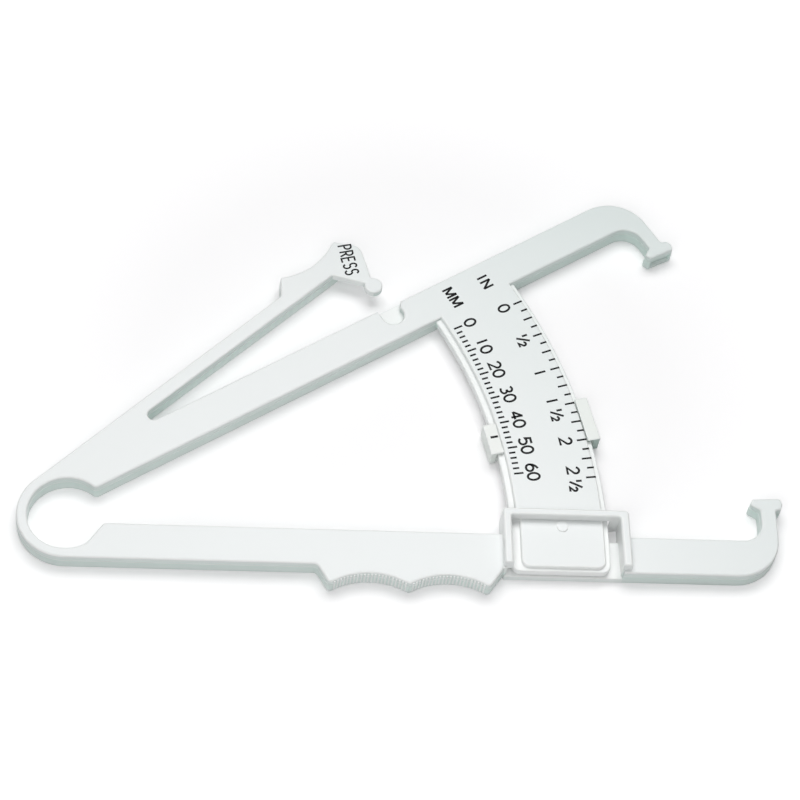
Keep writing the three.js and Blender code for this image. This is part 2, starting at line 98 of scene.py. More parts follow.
Point = tuple[float, float]
Place = tuple[float, float, float]
Colour = tuple[float, float, float]
Outline = list[Corner]
Stroke = list[Point]
Solid = bmesh.types.BMesh
Piece = bpy.types.Object
Tree = bpy.types.NodeTree
Socket = bpy.types.NodeSocket
Tone = Colour | Socket
Inputs = dict[str | int, object]


@dataclass(frozen=True)
class Sizes:
    """Sizes of the moulding and the slider, in millimetres and degrees, as in the solid model."""

    centre_x: float = 91.4687
    centre_y: float = 40.2525
    thickness: float = 4.8
    lower_inner: float = 1.1
    lower_outer: float = -7.75
    open_angle: float = 31.75
    upper_inner: float = -3.9
    upper_outer: float = 5.05
    ring_x: float = 16.8
    ring_y: float = 3.3
    ring_hole: float = 8.55
    ring_outer: float = 11.05
    lever_angle: float = 43.42
    lever_inner: float = -1.28
    lever_outer: float = 1.8996
    lever_splay: float = 0.375
    flexure_start: float = 46.0
    flexure_end: float = 50.5
    rim: float = 0.45
    parting: float = 3.1
    parting_rim: float = 0.07
    ledge: float = 0.1
    overlap: float = 0.05


S = Sizes()


def cosine(degrees: float) -> float:
    """Cosine of an angle in degrees."""
    return math.cos(math.radians(degrees))


def sine(degrees: float) -> float:
    """Sine of an angle in degrees."""
    return math.sin(math.radians(degrees))


def heading(x: float, y: float) -> float:
    """Direction of a vector in degrees."""
    return math.degrees(math.atan2(y, x))


def meets(radius: float, level: float, degrees: float = 0.0) -> float:
    """Angle at which a circle reaches a height over its centre, in a turned frame."""
    return degrees + math.degrees(math.asin(level / radius))


def turned(x: float, y: float, degrees: float) -> Point:
    """Turn a point about the drawing's centre.

    Args:
        x: Place along the turned frame's first axis.
        y: Place along its second axis.
        degrees: How far that frame is turned.

    Returns:
        The point in the drawing.
    """
    return x * cosine(degrees) - y * sine(degrees), x * sine(degrees) + y * cosine(degrees)


def turned_all(corners: Iterable[Corner], degrees: float, flip: bool = False) -> Outline:
    """Turn a whole outline about the drawing's centre.

    Args:
        corners: The outline in its own frame.
        degrees: How far that frame is turned.
        flip: Whether the outline is mirrored across its own X axis first.

    Returns:
        The outline in the drawing.
    """
    sign = -1.0 if flip else 1.0
    return [Corner(*turned(c.x, sign * c.y, degrees), c.radius, c.open) for c in corners]


def arc(x: float, y: float, radius: float, start: float, end: float, step: float = 6.0) -> Outline:
    """Sharp corners along an arc about a centre, both ends included."""
    return [Corner(*point) for point in bow(x, y, radius, radius, start, end, step, 1)]


def bow(
    x: float,
    y: float,
    wide: float,
    high: float,
    start: float,
    end: float,
    step: float = 18.0,
    least: int = 3,
) -> Stroke:
    """Points along part of an ellipse, both ends included.

    Args:
        x: Centre's X.
        y: Centre's Y.
        wide: Half-width.
        high: Half-height.
        start: First angle in degrees.
        end: Last angle in degrees.
        step: Largest angle between points.
        least: Smallest number of steps.

    Returns:
        The points.
    """
    count = max(least, math.ceil(abs(end - start) / step))
    angles = [start + (end - start) * i / count for i in range(count + 1)]
    return [(x + wide * cosine(a), y + high * sine(a)) for a in angles]


def opened(outline: Outline) -> Outline:
    """The same corners, with the side after the last one open."""
    return [*outline[:-1], outline[-1]._replace(open=True)]


def rounded(corners: Sequence[Corner], step: float = 9.0) -> Outline:
    """Replace each corner that has a radius by an arc.

    Args:
        corners: The outline's corners in order.
        step: Largest angle between the arc's points.

    Returns:
        The outline with sharp corners only.
    """
    points: Outline = []
    for index, corner in enumerate(corners):
        if corner.radius <= 0:
            points.append(corner)
            continue
        here = Vector((corner.x, corner.y))
        before = corners[index - 1]
        after = corners[(index + 1) % len(corners)]
        back = (Vector((before.x, before.y)) - here).normalized()
        onward = (Vector((after.x, after.y)) - here).normalized()
        half = back.angle(onward) / 2
        centre = here + (back + onward).normalized() * (corner.radius / math.sin(half))
        first = here + back * (corner.radius / math.tan(half)) - centre
        last = here + onward * (corner.radius / math.tan(half)) - centre
        start = heading(first.x, first.y)
        sweep = (heading(last.x, last.y) - start + 180.0) % 360.0 - 180.0
        turn = arc(centre.x, centre.y, corner.radius, start, start + sweep, step)
        points += turn[:-1] + [turn[-1]._replace(open=corner.open)]
    return points


def inset(outline: Sequence[Corner], distance: float) -> Outline:
    """Move an outline's sides inwards, except the open ones.

    Args:
        outline: The corners, sharp or rounded.
        distance: How far the sides move.

    Returns:
        The smaller outline, with sharp corners only.
    """
    corners = rounded(outline)
    following = [*corners[1:], corners[0]]
    turn = 1.0 if sum(a.x * b.y - b.x * a.y for a, b in zip(corners, following)) > 0 else -1.0
    moved: Outline = []
    for before, corner, after in zip([corners[-1], *corners[:-1]], corners, following):
        into = Vector((corner.x - before.x, corner.y - before.y)).normalized()
        away = Vector((after.x - corner.x, after.y - corner.y)).normalized()
        first = turn * Vector((-into.y, into.x))
        second = turn * Vector((-away.y, away.x))
        near = 0.0 if before.open else distance
        far = 0.0 if corner.open else distance
        spread = first.x * second.y - first.y * second.x
        if abs(spread) < NEARLY_STRAIGHT:
            shift = (first + second).normalized() * max(near, far)
        else:
            cross = (near * second.y - far * first.y, far * first.x - near * second.x)
            shift = Vector(cross) / spread
        moved.append(Corner(corner.x + shift.x, corner.y + shift.y, 0.0, corner.open))
    return moved


def crossing(a: Point, a_angle: float, b: Point, b_angle: float) -> Point:
    """Where two lines cross.

    Args:
        a: A point on the first line.
        a_angle: Its direction in degrees.
        b: A point on the second line.
        b_angle: Its direction in degrees.

    Returns:
        The crossing point.
    """
    across = (b[0] - a[0]) * sine(b_angle) - (b[1] - a[1]) * cosine(b_angle)
    along = across / sine(b_angle - a_angle)
    return a[0] + along * cosine(a_angle), a[1] + along * sine(a_angle)


def on_ring(radius: float, degrees: float) -> Point:
    """Point at a radius and an angle about the spring ring's middle."""
    return S.ring_x + radius * cosine(degrees), S.ring_y + radius * sine(degrees)


def lever_inner(x: float) -> float:
    """The lever's inner edge in the lever's frame; the lever widens a little towards its pad."""
    return S.lever_inner - x * math.tan(math.radians(S.lever_splay))


def drawing_to_frame() -> Matrix:
    """Matrix from the drawing, in millimetres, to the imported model's frame, in metres."""
    shift = Matrix.Translation((-S.centre_x, -S.centre_y, 0.0))
    return Matrix.Scale(0.001, 4) @ shift


def linked(name: str, data: bpy.types.ID) -> Piece:
    """A new object in the scene.

    Args:
        name: Its name.
        data: Its mesh, lamp or camera.

    Returns:
        The linked object.
    """
    thing = bpy.data.objects.new(name, data)
    bpy.context.scene.collection.objects.link(thing)
    return thing


def shaded(name: str) -> tuple[bpy.types.Material, Tree, bpy.types.Node]:
    """A new node material.

    Args:
        name: The material's name.

    Returns:
        The material, its node tree and its shader node.
    """
    material = bpy.data.materials.new(name)
    material.use_nodes = True
    return material, material.node_tree, material.node_tree.nodes["Principled BSDF"]


def feed(tree: Tree, node: bpy.types.Node, inputs: Inputs) -> None:
    """Link the inputs that get a socket, and set those that get a plain value.

    Args:
        tree: The node tree.
        node: The node.
        inputs: A socket or a plain value for each input.
    """
    for key, value in inputs.items():
        if isinstance(value, Socket):
            tree.links.new(value, node.inputs[key])
        else:
            node.inputs[key].default_value = value


def add(tree: Tree, kind: str, inputs: Inputs | None = None, **settings: str) -> bpy.types.Node:
    """Add a shader node.

    Args:
        tree: The node tree.
        kind: The node's type, without the ShaderNode in front.
        inputs: A socket or a plain value for each input.
        settings: The node's own settings.

    Returns:
        The node.
    """
    node = tree.nodes.new(f"ShaderNode{kind}")
    for name, value in settings.items():
        setattr(node, name, value)
    feed(tree, node, inputs or {})
    return node


def share(tree: Tree, vector: Socket, low: float, high: float) -> Socket:
    """How far a vector's Z lies between two values.

    Args:
        tree: The node tree.
        vector: The vector.
        low: The value that gives 0.
        high: The value that gives 1.

    Returns:
        The share, from 0 to 1.
    """
    height = add(tree, "SeparateXYZ", {"Vector": vector}).outputs["Z"]
    spread = {"Value": height, "From Min": low, "From Max": high}
    return add(tree, "MapRange", spread).outputs["Result"]


def blend(tree: Tree, factor: Socket, first: Tone, second: Tone) -> Socket:
    """Blend two tones.

    Args:
        tree: The node tree.
        factor: How much of the second tone shows.
        first: A colour, or the socket that gives it.
        second: Another one.

    Returns:
        The blended colour.
    """
    a, b = ((*tone, 1.0) if isinstance(tone, tuple) else tone for tone in (first, second))
    inputs = {"Factor": factor, "A": a, "B": b}
    return add(tree, "Mix", inputs, data_type="RGBA").outputs["Result"]


@dataclass(frozen=True)
class MouldedPlastic:
    """Semi-gloss injection-moulded plastic with the faint ripple of a moulded face."""

    name: str
    colour: Colour
    # Painted shade: the sides are darker and greener than the tops.
    shaded_side_colour: Colour
    # Painted light: a lighter band towards the top of the sides.
    side_top_light_colour: Colour = (0.75, 0.80, 0.785)
    # Painted light: the floor's bounce light painted at the sides' foot.
    side_foot_bounce_colour: Colour = (0.76, 0.82, 0.80)
    # Painted highlight on the rounded rims.
    rim_highlight_colour: Colour = (0.945, 0.96, 0.955)
    # Painted light on the faces that the painted-light layer marks.
    painted_light_colour: Colour = (0.915, 0.932, 0.924)
    # Painted shade: greener and darker towards the jaws, where the light falls off.
    jaw_falloff_shade: Colour = (0.905, 0.95, 0.938)
    jaw_falloff_rise: Place = (11.0, 11.0, 0.0)
    # Heights over which the painted top band and the painted foot light fade in.
    side_top_light_rise: Point = (0.0028, 0.0044)
    foot_bounce_fade: Point = (0.0024, -0.0004)
    # Normal Z over which the side shade gives way to the rim highlight, and the highlight to the
    # top.
    rim_facing: Point = (0.12, 0.5)
    top_facing: Point = (0.93, 0.99)
    cloud: Point = (45.0, 3.0)
    cloudiness: Point = (0.965, 1.02)
    grain: Point = (900.0, 2.0)
    roughness: Point = (0.29, 0.41)
    ripple: float = 0.05

    def tone(self, tree: Tree, place: Socket, normal: Socket) -> Socket:
        """Colour of the tops, rims and sides with painted shade and highlights, a little greener
        and darker towards the jaws.

        Args:
            tree: The material's node tree.
            place: The object's own coordinates.
            normal: The face's normal.

        Returns:
            The colour.
        """
        # Painted light at the sides' foot for the floor's bounce, then a painted lighter band
        # towards their top, over the sides' painted shade.
        foot = share(tree, place, *self.foot_bounce_fade)
        side = blend(tree, foot, self.shaded_side_colour, self.side_foot_bounce_colour)
        side = blend(tree, share(tree, place, *self.side_top_light_rise), side, self.side_top_light_colour)
        # Painted highlight on the rims, between the shaded sides and the tops.
        top = blend(tree, share(tree, normal, *self.top_facing), self.rim_highlight_colour, self.colour)
        walls = blend(tree, share(tree, normal, *self.rim_facing), side, top)
        # Painted light on the faces that the painted-light layer marks.
        painted_light = add(tree, "Attribute", attribute_name=PAINTED_LIGHT_LAYER).outputs["Fac"]
        walls = blend(tree, painted_light, walls, self.painted_light_colour)
        # Painted shade: greener and darker towards the jaws, where the light falls off.
        rise = add(tree, "VectorMath", {0: place, 1: self.jaw_falloff_rise}, operation="DOT_PRODUCT")
        nearness = add(tree, "Clamp", {"Value": rise.outputs["Value"]}).outputs["Result"]
        falloff_shade = blend(tree, nearness, WHITE, self.jaw_falloff_shade)
        return add(tree, "VectorMath", {0: walls, 1: falloff_shade}, operation="MULTIPLY").outputs["Vector"]

    def material(self) -> bpy.types.Material:
        """Build the node material.

        Returns:
            The finished material.
        """
        material, tree, shader = shaded(self.name)
        coordinates = add(tree, "TexCoord").outputs
        place = coordinates["Object"]
        cloud, grain = (
            add(tree, "TexNoise", {"Vector": place, "Scale": size, "Detail": detail}).outputs["Fac"]
            for size, detail in (self.cloud, self.grain)
        )
        shade, gloss = (
            add(tree, "MapRange", {"Value": cloud, "To Min": low, "To Max": high}).outputs["Result"]
            for low, high in (self.cloudiness, self.roughness)
        )
        clouded = {0: self.tone(tree, place, coordinates["Normal"]), "Scale": shade}
        relief = {"Height": grain, "Strength": self.ripple, "Distance": 0.0001}
        finish = {
            "Base Color": add(tree, "VectorMath", clouded, operation="SCALE").outputs["Vector"],
            "Roughness": gloss,
            "Normal": add(tree, "Bump", relief).outputs["Normal"],
            "IOR": 1.5,
            "Coat Weight": 0.25,
            "Coat Roughness": 0.12,
        }
        feed(tree, shader, finish)
        return material


@dataclass(frozen=True)
class PrintedInk:
    """Black pad-printed ink, slightly uneven in density."""

    name: str = "scale_ink"
    colour: Colour = (0.004, 0.004, 0.0045)
    thinning: float = 2.6

    def material(self) -> bpy.types.Material:
        """Build the node material.

        Returns:
            The finished material.
        """
        material, tree, shader = shaded(self.name)
        place = add(tree, "TexCoord").outputs["Object"]
        speckle = add(tree, "TexNoise", {"Vector": place, "Scale": 1500.0}).outputs["Fac"]
        ink = blend(tree, speckle, self.colour, tuple(self.thinning * c for c in self.colour))
        feed(tree, shader, {"Base Color": ink, "Roughness": 0.5, "Specular IOR Level": 0.2})
        return material


@dataclass(frozen=True)
class Finishes:
    """The object's finishes, made once."""

    body: bpy.types.Material
    slider: bpy.types.Material
    ink: bpy.types.Material

    @classmethod
    def build(cls) -> "Finishes":
        """Make every material.

        Returns:
            The finishes.
        """
        body = MouldedPlastic("white_moulding", (0.838, 0.868, 0.866), (0.69, 0.80, 0.762))
        # The slider's dark side colours are a painted shade, left showing only on the inch claw's
        # front end; its other sides take the painted light colour.
        slider = MouldedPlastic(
            "white_slider",
            (0.86, 0.885, 0.855),
            (0.36, 0.47, 0.43),
            side_top_light_colour=(0.40, 0.51, 0.47),
            side_foot_bounce_colour=(0.36, 0.47, 0.43),
            painted_light_colour=(0.80, 0.845, 0.81),
        )
        return cls(body.material(), slider.material(), PrintedInk().material())


def finished(
    name: str,
    solids: Iterable[Solid],
    material: bpy.types.Material,
    sharp: float = 42.0,
    painted_light: Callable[[Vector, Vector], float] | None = None,
) -> Piece:
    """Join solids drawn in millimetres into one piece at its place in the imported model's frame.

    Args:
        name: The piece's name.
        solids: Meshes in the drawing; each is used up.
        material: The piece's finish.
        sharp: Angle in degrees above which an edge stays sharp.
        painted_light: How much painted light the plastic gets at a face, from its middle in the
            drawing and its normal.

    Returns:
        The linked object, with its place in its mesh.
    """
    joined = bmesh.new()
    for solid in solids:
        bmesh.ops.recalc_face_normals(solid, faces=solid.faces)
        mesh = bpy.data.meshes.new("part")
        solid.to_mesh(mesh)
        solid.free()
        joined.from_mesh(mesh)
        bpy.data.meshes.remove(mesh)
    # Each face's share of painted light goes into a layer that the material reads.
    if painted_light is not None:
        lightness = joined.faces.layers.float.new(PAINTED_LIGHT_LAYER)
        for face in joined.faces:
            face.normal_update()
            face[lightness] = painted_light(face.calc_center_median(), face.normal)
    joined.transform(drawing_to_frame())
    for face in joined.faces:
        face.smooth = True
    limit = math.radians(sharp)
    for edge in joined.edges:
        edge.smooth = len(edge.link_faces) == 2 and edge.calc_face_angle(0.0) < limit
    mesh = bpy.data.meshes.new(name)
    joined.to_mesh(mesh)
    joined.free()
    mesh.materials.append(material)
    piece = linked(name, mesh)
    weighted = piece.modifiers.new("even_shading", "WEIGHTED_NORMAL")
    weighted.mode = "FACE_AREA"
    weighted.weight = 50
    weighted.keep_sharp = True
    return piece


def prism(
    outline: Sequence[Corner],
    bottom: float,
    top: float,
    top_rim: float = 0.0,
    bottom_rim: float = 0.0,
    segments: int = 4,
) -> Solid:
    """A flat piece between two heights, its rims rounded except along the open sides.

    Args:
        outline: The corners, sharp or rounded.
        bottom: Height of the lower face.
        top: Height of the upper face.
        top_rim: Radius of the upper rim.
        bottom_rim: Radius of the lower rim.
        segments: Steps in each rim's round.

    Returns:
        The closed mesh, in the drawing.
    """
    corners = rounded(outline)
    solid = bmesh.new()
    ground = [solid.verts.new((c.x, c.y, bottom)) for c in corners]
    base = solid.faces.new(ground)
    base.normal_update()
    if base.normal.z > 0:
        base.normal_flip()
    raised = bmesh.ops.extrude_face_region(solid, geom=[base], use_keep_orig=True)
    lifted = [v for v in raised["geom"] if isinstance(v, bmesh.types.BMVert)]
    bmesh.ops.translate(solid, verts=lifted, vec=(0.0, 0.0, top - bottom))
    solid.verts.index_update()
    upper = set(lifted)
    above = []
    for vertex in ground:
        ends = (edge.other_vert(vertex) for edge in vertex.link_edges)
        above.append(next(end for end in ends if end in upper))
    for radius, ring in ((top_rim, above), (bottom_rim, ground)):
        if radius <= 0:
            continue
        edges = []
        for index, corner in enumerate(corners):
            edge = solid.edges.get((ring[index], ring[(index + 1) % len(ring)]))
            if edge is not None and not corner.open:
                edges.append(edge)
        shape = {"offset": radius, "segments": segments, "profile": 0.5, "clamp_overlap": False}
        bmesh.ops.bevel(solid, geom=edges, affect="EDGES", material=-1, **shape)
    return solid


def upper_step(outline: Sequence[Corner], parting: float = S.parting) -> Solid:
    """The part above the mould's parting line, stepped in a little from an outline."""
    return prism(inset(outline, S.ledge), parting - S.overlap, S.thickness, S.rim)


def moulded(outline: Sequence[Corner]) -> list[Solid]:
    """A full-height piece of the moulding, from its outline under the parting line."""
    return [prism(outline, 0.0, S.parting, S.parting_rim, S.rim, 3), upper_step(outline)]


def rectangle(x0: float, y0: float, x1: float, y1: float) -> Outline:
    """Four corners of a rectangle, anticlockwise from its left front corner."""
    return [Corner(x0, y0), Corner(x1, y0), Corner(x1, y1), Corner(x0, y1)]


@dataclass
class Jaw:
    """Hooked end of an arm, with a small flat foot that meets the other jaw's foot."""

    start: float
    inner: float
    outer: float
    tip_x: float
    reach: float
    tilt: float
    neck: float = 3.7
    neck_shift: float = 0.1
    foot_length: float = 6.55
    foot_thickness: float = 3.1
    outer_radius: float = 10.0
    inner_radius: float = 4.6
    groove: float = 0.8
    groove_bottom: float = 0.8
    groove_overlap: float = 0.08
    groove_rim: float = 0.05
    foot_rim: float = 0.3
    groove_toe: Point = (0.75, 1.0)
    groove_heel: Point = (0.45, 0.7)

    def foot(self, along: float, down: float, radius: float = 0.0) -> Corner:
        """Corner on the foot.

        Args:
            along: Place along the contact face.
            down: Depth under it.
            radius: The corner's radius.

        Returns:
            The corner.
        """
        tip_y = self.inner + self.reach
        return Corner(
            self.tip_x + along * cosine(self.tilt) + down * sine(self.tilt),
            tip_y + along * sine(self.tilt) - down * cosine(self.tilt),
            radius,
        )

    def corners(self, grooved: bool = False) -> Outline:
        """Corners from the arm's outer edge round the jaw to the arm's inner edge.

        Args:
            grooved: Whether the outline is cut back along the contact face.

        Returns:
            The run of corners, which the arm's other end closes.
        """
        half, thick = self.foot_length / 2, self.foot_thickness
        toe_y = self.inner + self.reach - thick
        neck_inner = self.tip_x - self.neck / 2 + self.neck_shift
        neck_outer = self.tip_x + self.neck / 2 + self.neck_shift
        toe, heel = self.groove_toe, self.groove_heel
        cut = [
            self.foot(half - toe[0], 0.0),
            self.foot(half - toe[1], self.groove),
            self.foot(heel[1] - half, self.groove),
            self.foot(heel[0] - half, 0.0),
        ]
        return [
            Corner(self.start, self.outer),
            Corner(neck_outer, self.outer, self.outer_radius),
            Corner(neck_outer, toe_y, 0.5),
            self.foot(half - 0.25, thick, 0.6),
            self.foot(half + 0.4, thick * 0.55, 1.1),
            self.foot(half, 0.0, 0.7),
            *(cut if grooved else []),
            self.foot(-half, 0.0, 0.6),
            self.foot(-half - 0.8, thick * 0.52, 0.7),
            Corner(neck_inner, toe_y, 0.6),
            Corner(neck_inner, self.inner, self.inner_radius),
            Corner(self.start, self.inner),
        ]

    def solids(
        self, plain: Outline, cut: Outline, upper: Outline, parting: float = S.parting
    ) -> list[Solid]:
        """A stepped piece whose jaw has a shallow groove along its contact face.

        Args:
            plain: The outline under the groove.
            cut: The outline at the groove's height.
            upper: The outline above the parting line.
            parting: Height of the parting line.

        Returns:
            The closed meshes, in the drawing.
        """
        return [
            prism(plain, 0.0, self.groove_bottom, self.groove_rim, self.foot_rim, 3),
            prism(cut, self.groove_bottom - self.groove_overlap, parting, S.parting_rim, 0.0, 3),
            upper_step(upper, parting),
        ]


@dataclass
class LowerHalf:
    """Lower arm with its finger grip and jaw, and the guide that the scale runs through."""

    finishes: Finishes
    grip_pitch: float = 17.3
    grip_first_x: float = 83.3
    grip_depth: float = 2.0
    finger_radius: float = 16.5
    crest_radius: float = 1.0
    left_flank: float = 210.7
    right_flank: float = 324.8
    rib_pitch: float = 0.75
    rib_radius: float = 0.2
    rib_sink: float = 0.04
    # Share of painted light on the ribs, which lightens the grip's sides.
    rib_painted_light_share: float = 0.9
    guide_left: float = 112.8
    guide_right: float = 141.2
    guide_front: float = -7.3
    guide_back: float = 6.3
    guide_top: float = 7.1
    bar_bottom: float = 5.0
    bar_front: float = 4.7
    bar_back: float = 6.55
    bar_rim: float = 0.55
    bar_overlap: float = 0.2
    leg: float = 2.0
    strip: float = 1.9
    lug_bottom: float = 4.15
    lug_length: float = 1.7
    web_length: float = 2.0
    web_sides: Point = (0.05, 0.65)
    web_bottom: float = 0.05
    wall: float = 0.65
    wall_lead: float = 0.4
    floor_top: float = 1.8
    floor_front: float = -8.13
    lap: float = 0.3
    tuck: float = 0.1
    seam: float = 0.02
    ramp_x: float = 25.0
    ramp_angle: float = 54.6
    jaw: Jaw = field(default_factory=lambda: Jaw(139.6, 1.1, -8.15, 173.5, 10.8, 3.1))

    def hollow_y(self) -> float:
        """Y of the finger hollows' centres in the drawing."""
        return S.lower_outer - self.grip_depth - self.finger_radius

    def crest(self) -> tuple[float, float]:
        """Place the rounded crests that touch the finger hollows.

        Returns:
            How high the crests' centres lie over the hollows', and a hollow's end angle.
        """
        half = self.grip_pitch / 2
        rise = math.sqrt((self.finger_radius + self.crest_radius) ** 2 - half**2)
        return rise, heading(half, rise)

    def grip_edge(self) -> Outline:
        """Front edge of the finger grip, from its left end to its right end.

        Returns:
            The run of corners.
        """
        rise, reach = self.crest()
        crest_y = self.hollow_y() + rise
        lift = S.lower_outer - crest_y
        first_foot, last_foot = (
            (self.crest_radius - lift * sine(flank)) / cosine(flank)
            for flank in (self.left_flank, self.right_flank)
        )
        half = self.grip_pitch / 2
        left = self.grip_first_x - 0.5 * self.grip_pitch
        points = [Corner(left + first_foot, S.lower_outer, 1.2)]
        for index in range(3):
            x = self.grip_first_x + (index - 0.5) * self.grip_pitch
            start = self.left_flank if index == 0 else 180.0 + reach
            end = self.right_flank if index == 2 else 360.0 - reach
            points += arc(x, crest_y, self.crest_radius, start, end, 9.0)
            if index < 2:
                bend = (180.0 - reach, reach, FINE_STEP)
                points += arc(x + half, self.hollow_y(), self.finger_radius, *bend)[1:-1]
        return [*points, Corner(x + last_foot, S.lower_outer)]

    def ribs(self) -> Solid:
        """Fine upright ribs that keep the fingers from slipping in the hollows, as one mesh.

        Returns:
            The mesh, in the drawing.
        """
        mesh = bmesh.new()
        reach = self.crest()[1]
        span = 180.0 - 2 * reach
        count = int(math.radians(span) * self.finger_radius / self.rib_pitch)
        radius = self.finger_radius + self.rib_sink
        for hollow in range(2):
            x = self.grip_first_x + hollow * self.grip_pitch
            for rib in range(count):
                angle = reach + span * (rib + 0.5) / count
                place = (x + radius * cosine(angle), self.hollow_y() + radius * sine(angle))
                bmesh.ops.create_cone(
                    mesh,
                    cap_ends=True,
                    segments=8,
                    radius1=self.rib_radius,
                    radius2=self.rib_radius,
                    depth=S.thickness - 2 * S.rim,
                    matrix=Matrix.Translation((*place, S.thickness / 2)),
                )
        return mesh

    def arm(self) -> list[Solid]:
        """Lower arm with the grip, from the ring to the guide.

        Returns:
            The closed meshes, in the drawing.
        """
        end = self.guide_left + self.lap
        rise, run = S.lower_inner - S.ring_y, self.ramp_x - S.ring_x
        offset = run * sine(self.ramp_angle) - rise * cosine(self.ramp_angle)
        foot = self.ramp_angle - 90.0 - math.degrees(math.acos(offset / S.ring_hole))
        outline = [
            Corner(S.ring_x, S.lower_outer),
            *self.grip_edge(),
            Corner(end, S.lower_outer, 0.0, True),
            Corner(end, S.lower_inner),
            Corner(self.ramp_x, S.lower_inner, 1.2),
            Corner(*on_ring(S.ring_hole, foot), 3.0),
            *opened(arc(S.ring_x, S.ring_y, S.ring_hole, foot - 6.0, -90.0)),
        ]
        return moulded(outline)

    def bracket(self) -> list[Solid]:
        """Raised frame over the scale's tail, with its two side walls and the floor.

        Returns:
            The closed meshes, in the drawing.
        """
        left, right = self.guide_left, self.guide_right
        front, back = self.guide_front, self.guide_back
        strip, leg = left + self.strip, right - self.leg
        under, bar = self.bar_bottom, self.bar_front
        top = [
            Corner(left, front),
            Corner(strip, front),
            Corner(strip, bar, 0.5),
            Corner(leg, bar, 0.5),
            Corner(leg, front),
            Corner(right, front),
            Corner(right, self.bar_back, 1.0),
            Corner(left, self.bar_back, 0.7),
        ]
        right_leg = rectangle(leg, front, right, back)
        right_leg[2] = right_leg[2]._replace(radius=1.0)
        wall = rectangle(left, front - self.wall_lead, left + self.wall, back)
        floor_end = self.jaw.start + self.tuck
        floor = rectangle(left + self.lap, self.floor_front, floor_end, S.lower_inner)
        floor[1] = floor[1]._replace(open=True)
        seam, tuck = self.seam, self.tuck
        lug = rectangle(left + tuck, front + seam, strip - seam, front + self.lug_length)
        near, far = self.web_sides
        web = rectangle(leg - self.web_length, bar + near, leg + tuck, bar + far)
        return [
            prism(top, under, self.guide_top, self.bar_rim),
            prism(lug, self.lug_bottom, under + self.bar_overlap, 0.0, 0.15),
            prism(web, self.web_bottom, under + self.bar_overlap),
            prism(right_leg, 0.0, under, 0.0, 0.2),
            prism(wall, 0.0, under, 0.0, 0.15),
            prism(floor, 0.0, self.floor_top, 0.25, 0.2),
        ]

    def lightness(self, middle: Vector, normal: Vector) -> float:
        """How much painted light the guide gets at a face; only the bar's top is left out, and
        front faces get half.

        Args:
            middle: The face's middle in the drawing.
            normal: The face's normal.

        Returns:
            1 for the full painted light, 0 for the arms' own tone.
        """
        if normal.z > FLAT and middle.z > self.bar_bottom:
            return 0.0
        return 0.5 if normal.y < -0.5 and middle.y < self.guide_front + 0.5 else 1.0

    def rib_painted_light(self, middle: Vector, normal: Vector) -> float:
        """Painted light on the fine ribs, the same at every face."""
        return self.rib_painted_light_share

    def end(self) -> list[Solid]:
        """Lower arm's end beyond the guide, with the jaw."""
        plain, cut = (opened(self.jaw.corners(grooved)) for grooved in (False, True))
        return self.jaw.solids(plain, cut, plain)

    def build(self) -> list[Piece]:
        """Make the lower half's pieces and put them on their body.

        Returns:
            The pieces.
        """
        body = self.finishes.body
        arms = finished("lower_moulding", [*self.arm(), *self.end()], body)
        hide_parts("lower_arm", "finger_grip", "lower_jaw")
        guide = finished("guide_skin", self.bracket(), body, painted_light=self.lightness)
        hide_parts("guide_floor", "guide_left_wall", "guide_right_wall", "guide_bar")
        ribs = finished("grip_ribs", [self.ribs()], body, painted_light=self.rib_painted_light)
        for piece in (arms, guide, ribs):
            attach(piece, Body.LOWER.value)
        return [arms, guide, ribs]


@dataclass
class SpringRing:
    """Thin C-shaped ring that joins the arms and springs them apart."""

    finishes: Finishes

    def build(self) -> list[Piece]:
        """Make the ring; it is put on neither half's body.

        Returns:
            The one piece.
        """
        top = 90.0 + S.lever_angle
        outside = opened(arc(S.ring_x, S.ring_y, S.ring_outer, top, 270.0, FINE_STEP))
        inside = opened(arc(S.ring_x, S.ring_y, S.ring_hole, 270.0, top, FINE_STEP))
        piece = finished("spring_ring_skin", moulded([*outside, *inside]), self.finishes.body)
        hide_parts("spring_ring")
        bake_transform(piece)
        return [piece]


@dataclass
class ScaleSizes:
    """Sizes of the scale plate, in millimetres."""

    rail_inner: float = 114.75
    rail_outer: float = 136.85
    rail_lap: float = 0.6
    rail_turn: float = -4.0
    rail_shift: float = 0.15
    face_inner: float = 116.15
    face_outer: float = 135.7
    face_turn: float = -3.0
    bottom: float = 2.1
    rail_top: float = 3.9
    tail_x: float = 116.8
    tail_top: float = 4.9
    tail_slope: Point = (0.5, -0.2)
    tail_face_end: float = -7.05
    tail_rail_end: float = -7.75
    tail_radius: float = 2.0
    seam: float = 0.02
    step: float = 0.75
    # Where the plate's painted light begins inside the arm's edge, how far out it reaches, and the
    # height over which tops keep the arms' tone.
    light_from: float = 0.15
    light_reach: float = 137.85
    light_top: float = 4.1


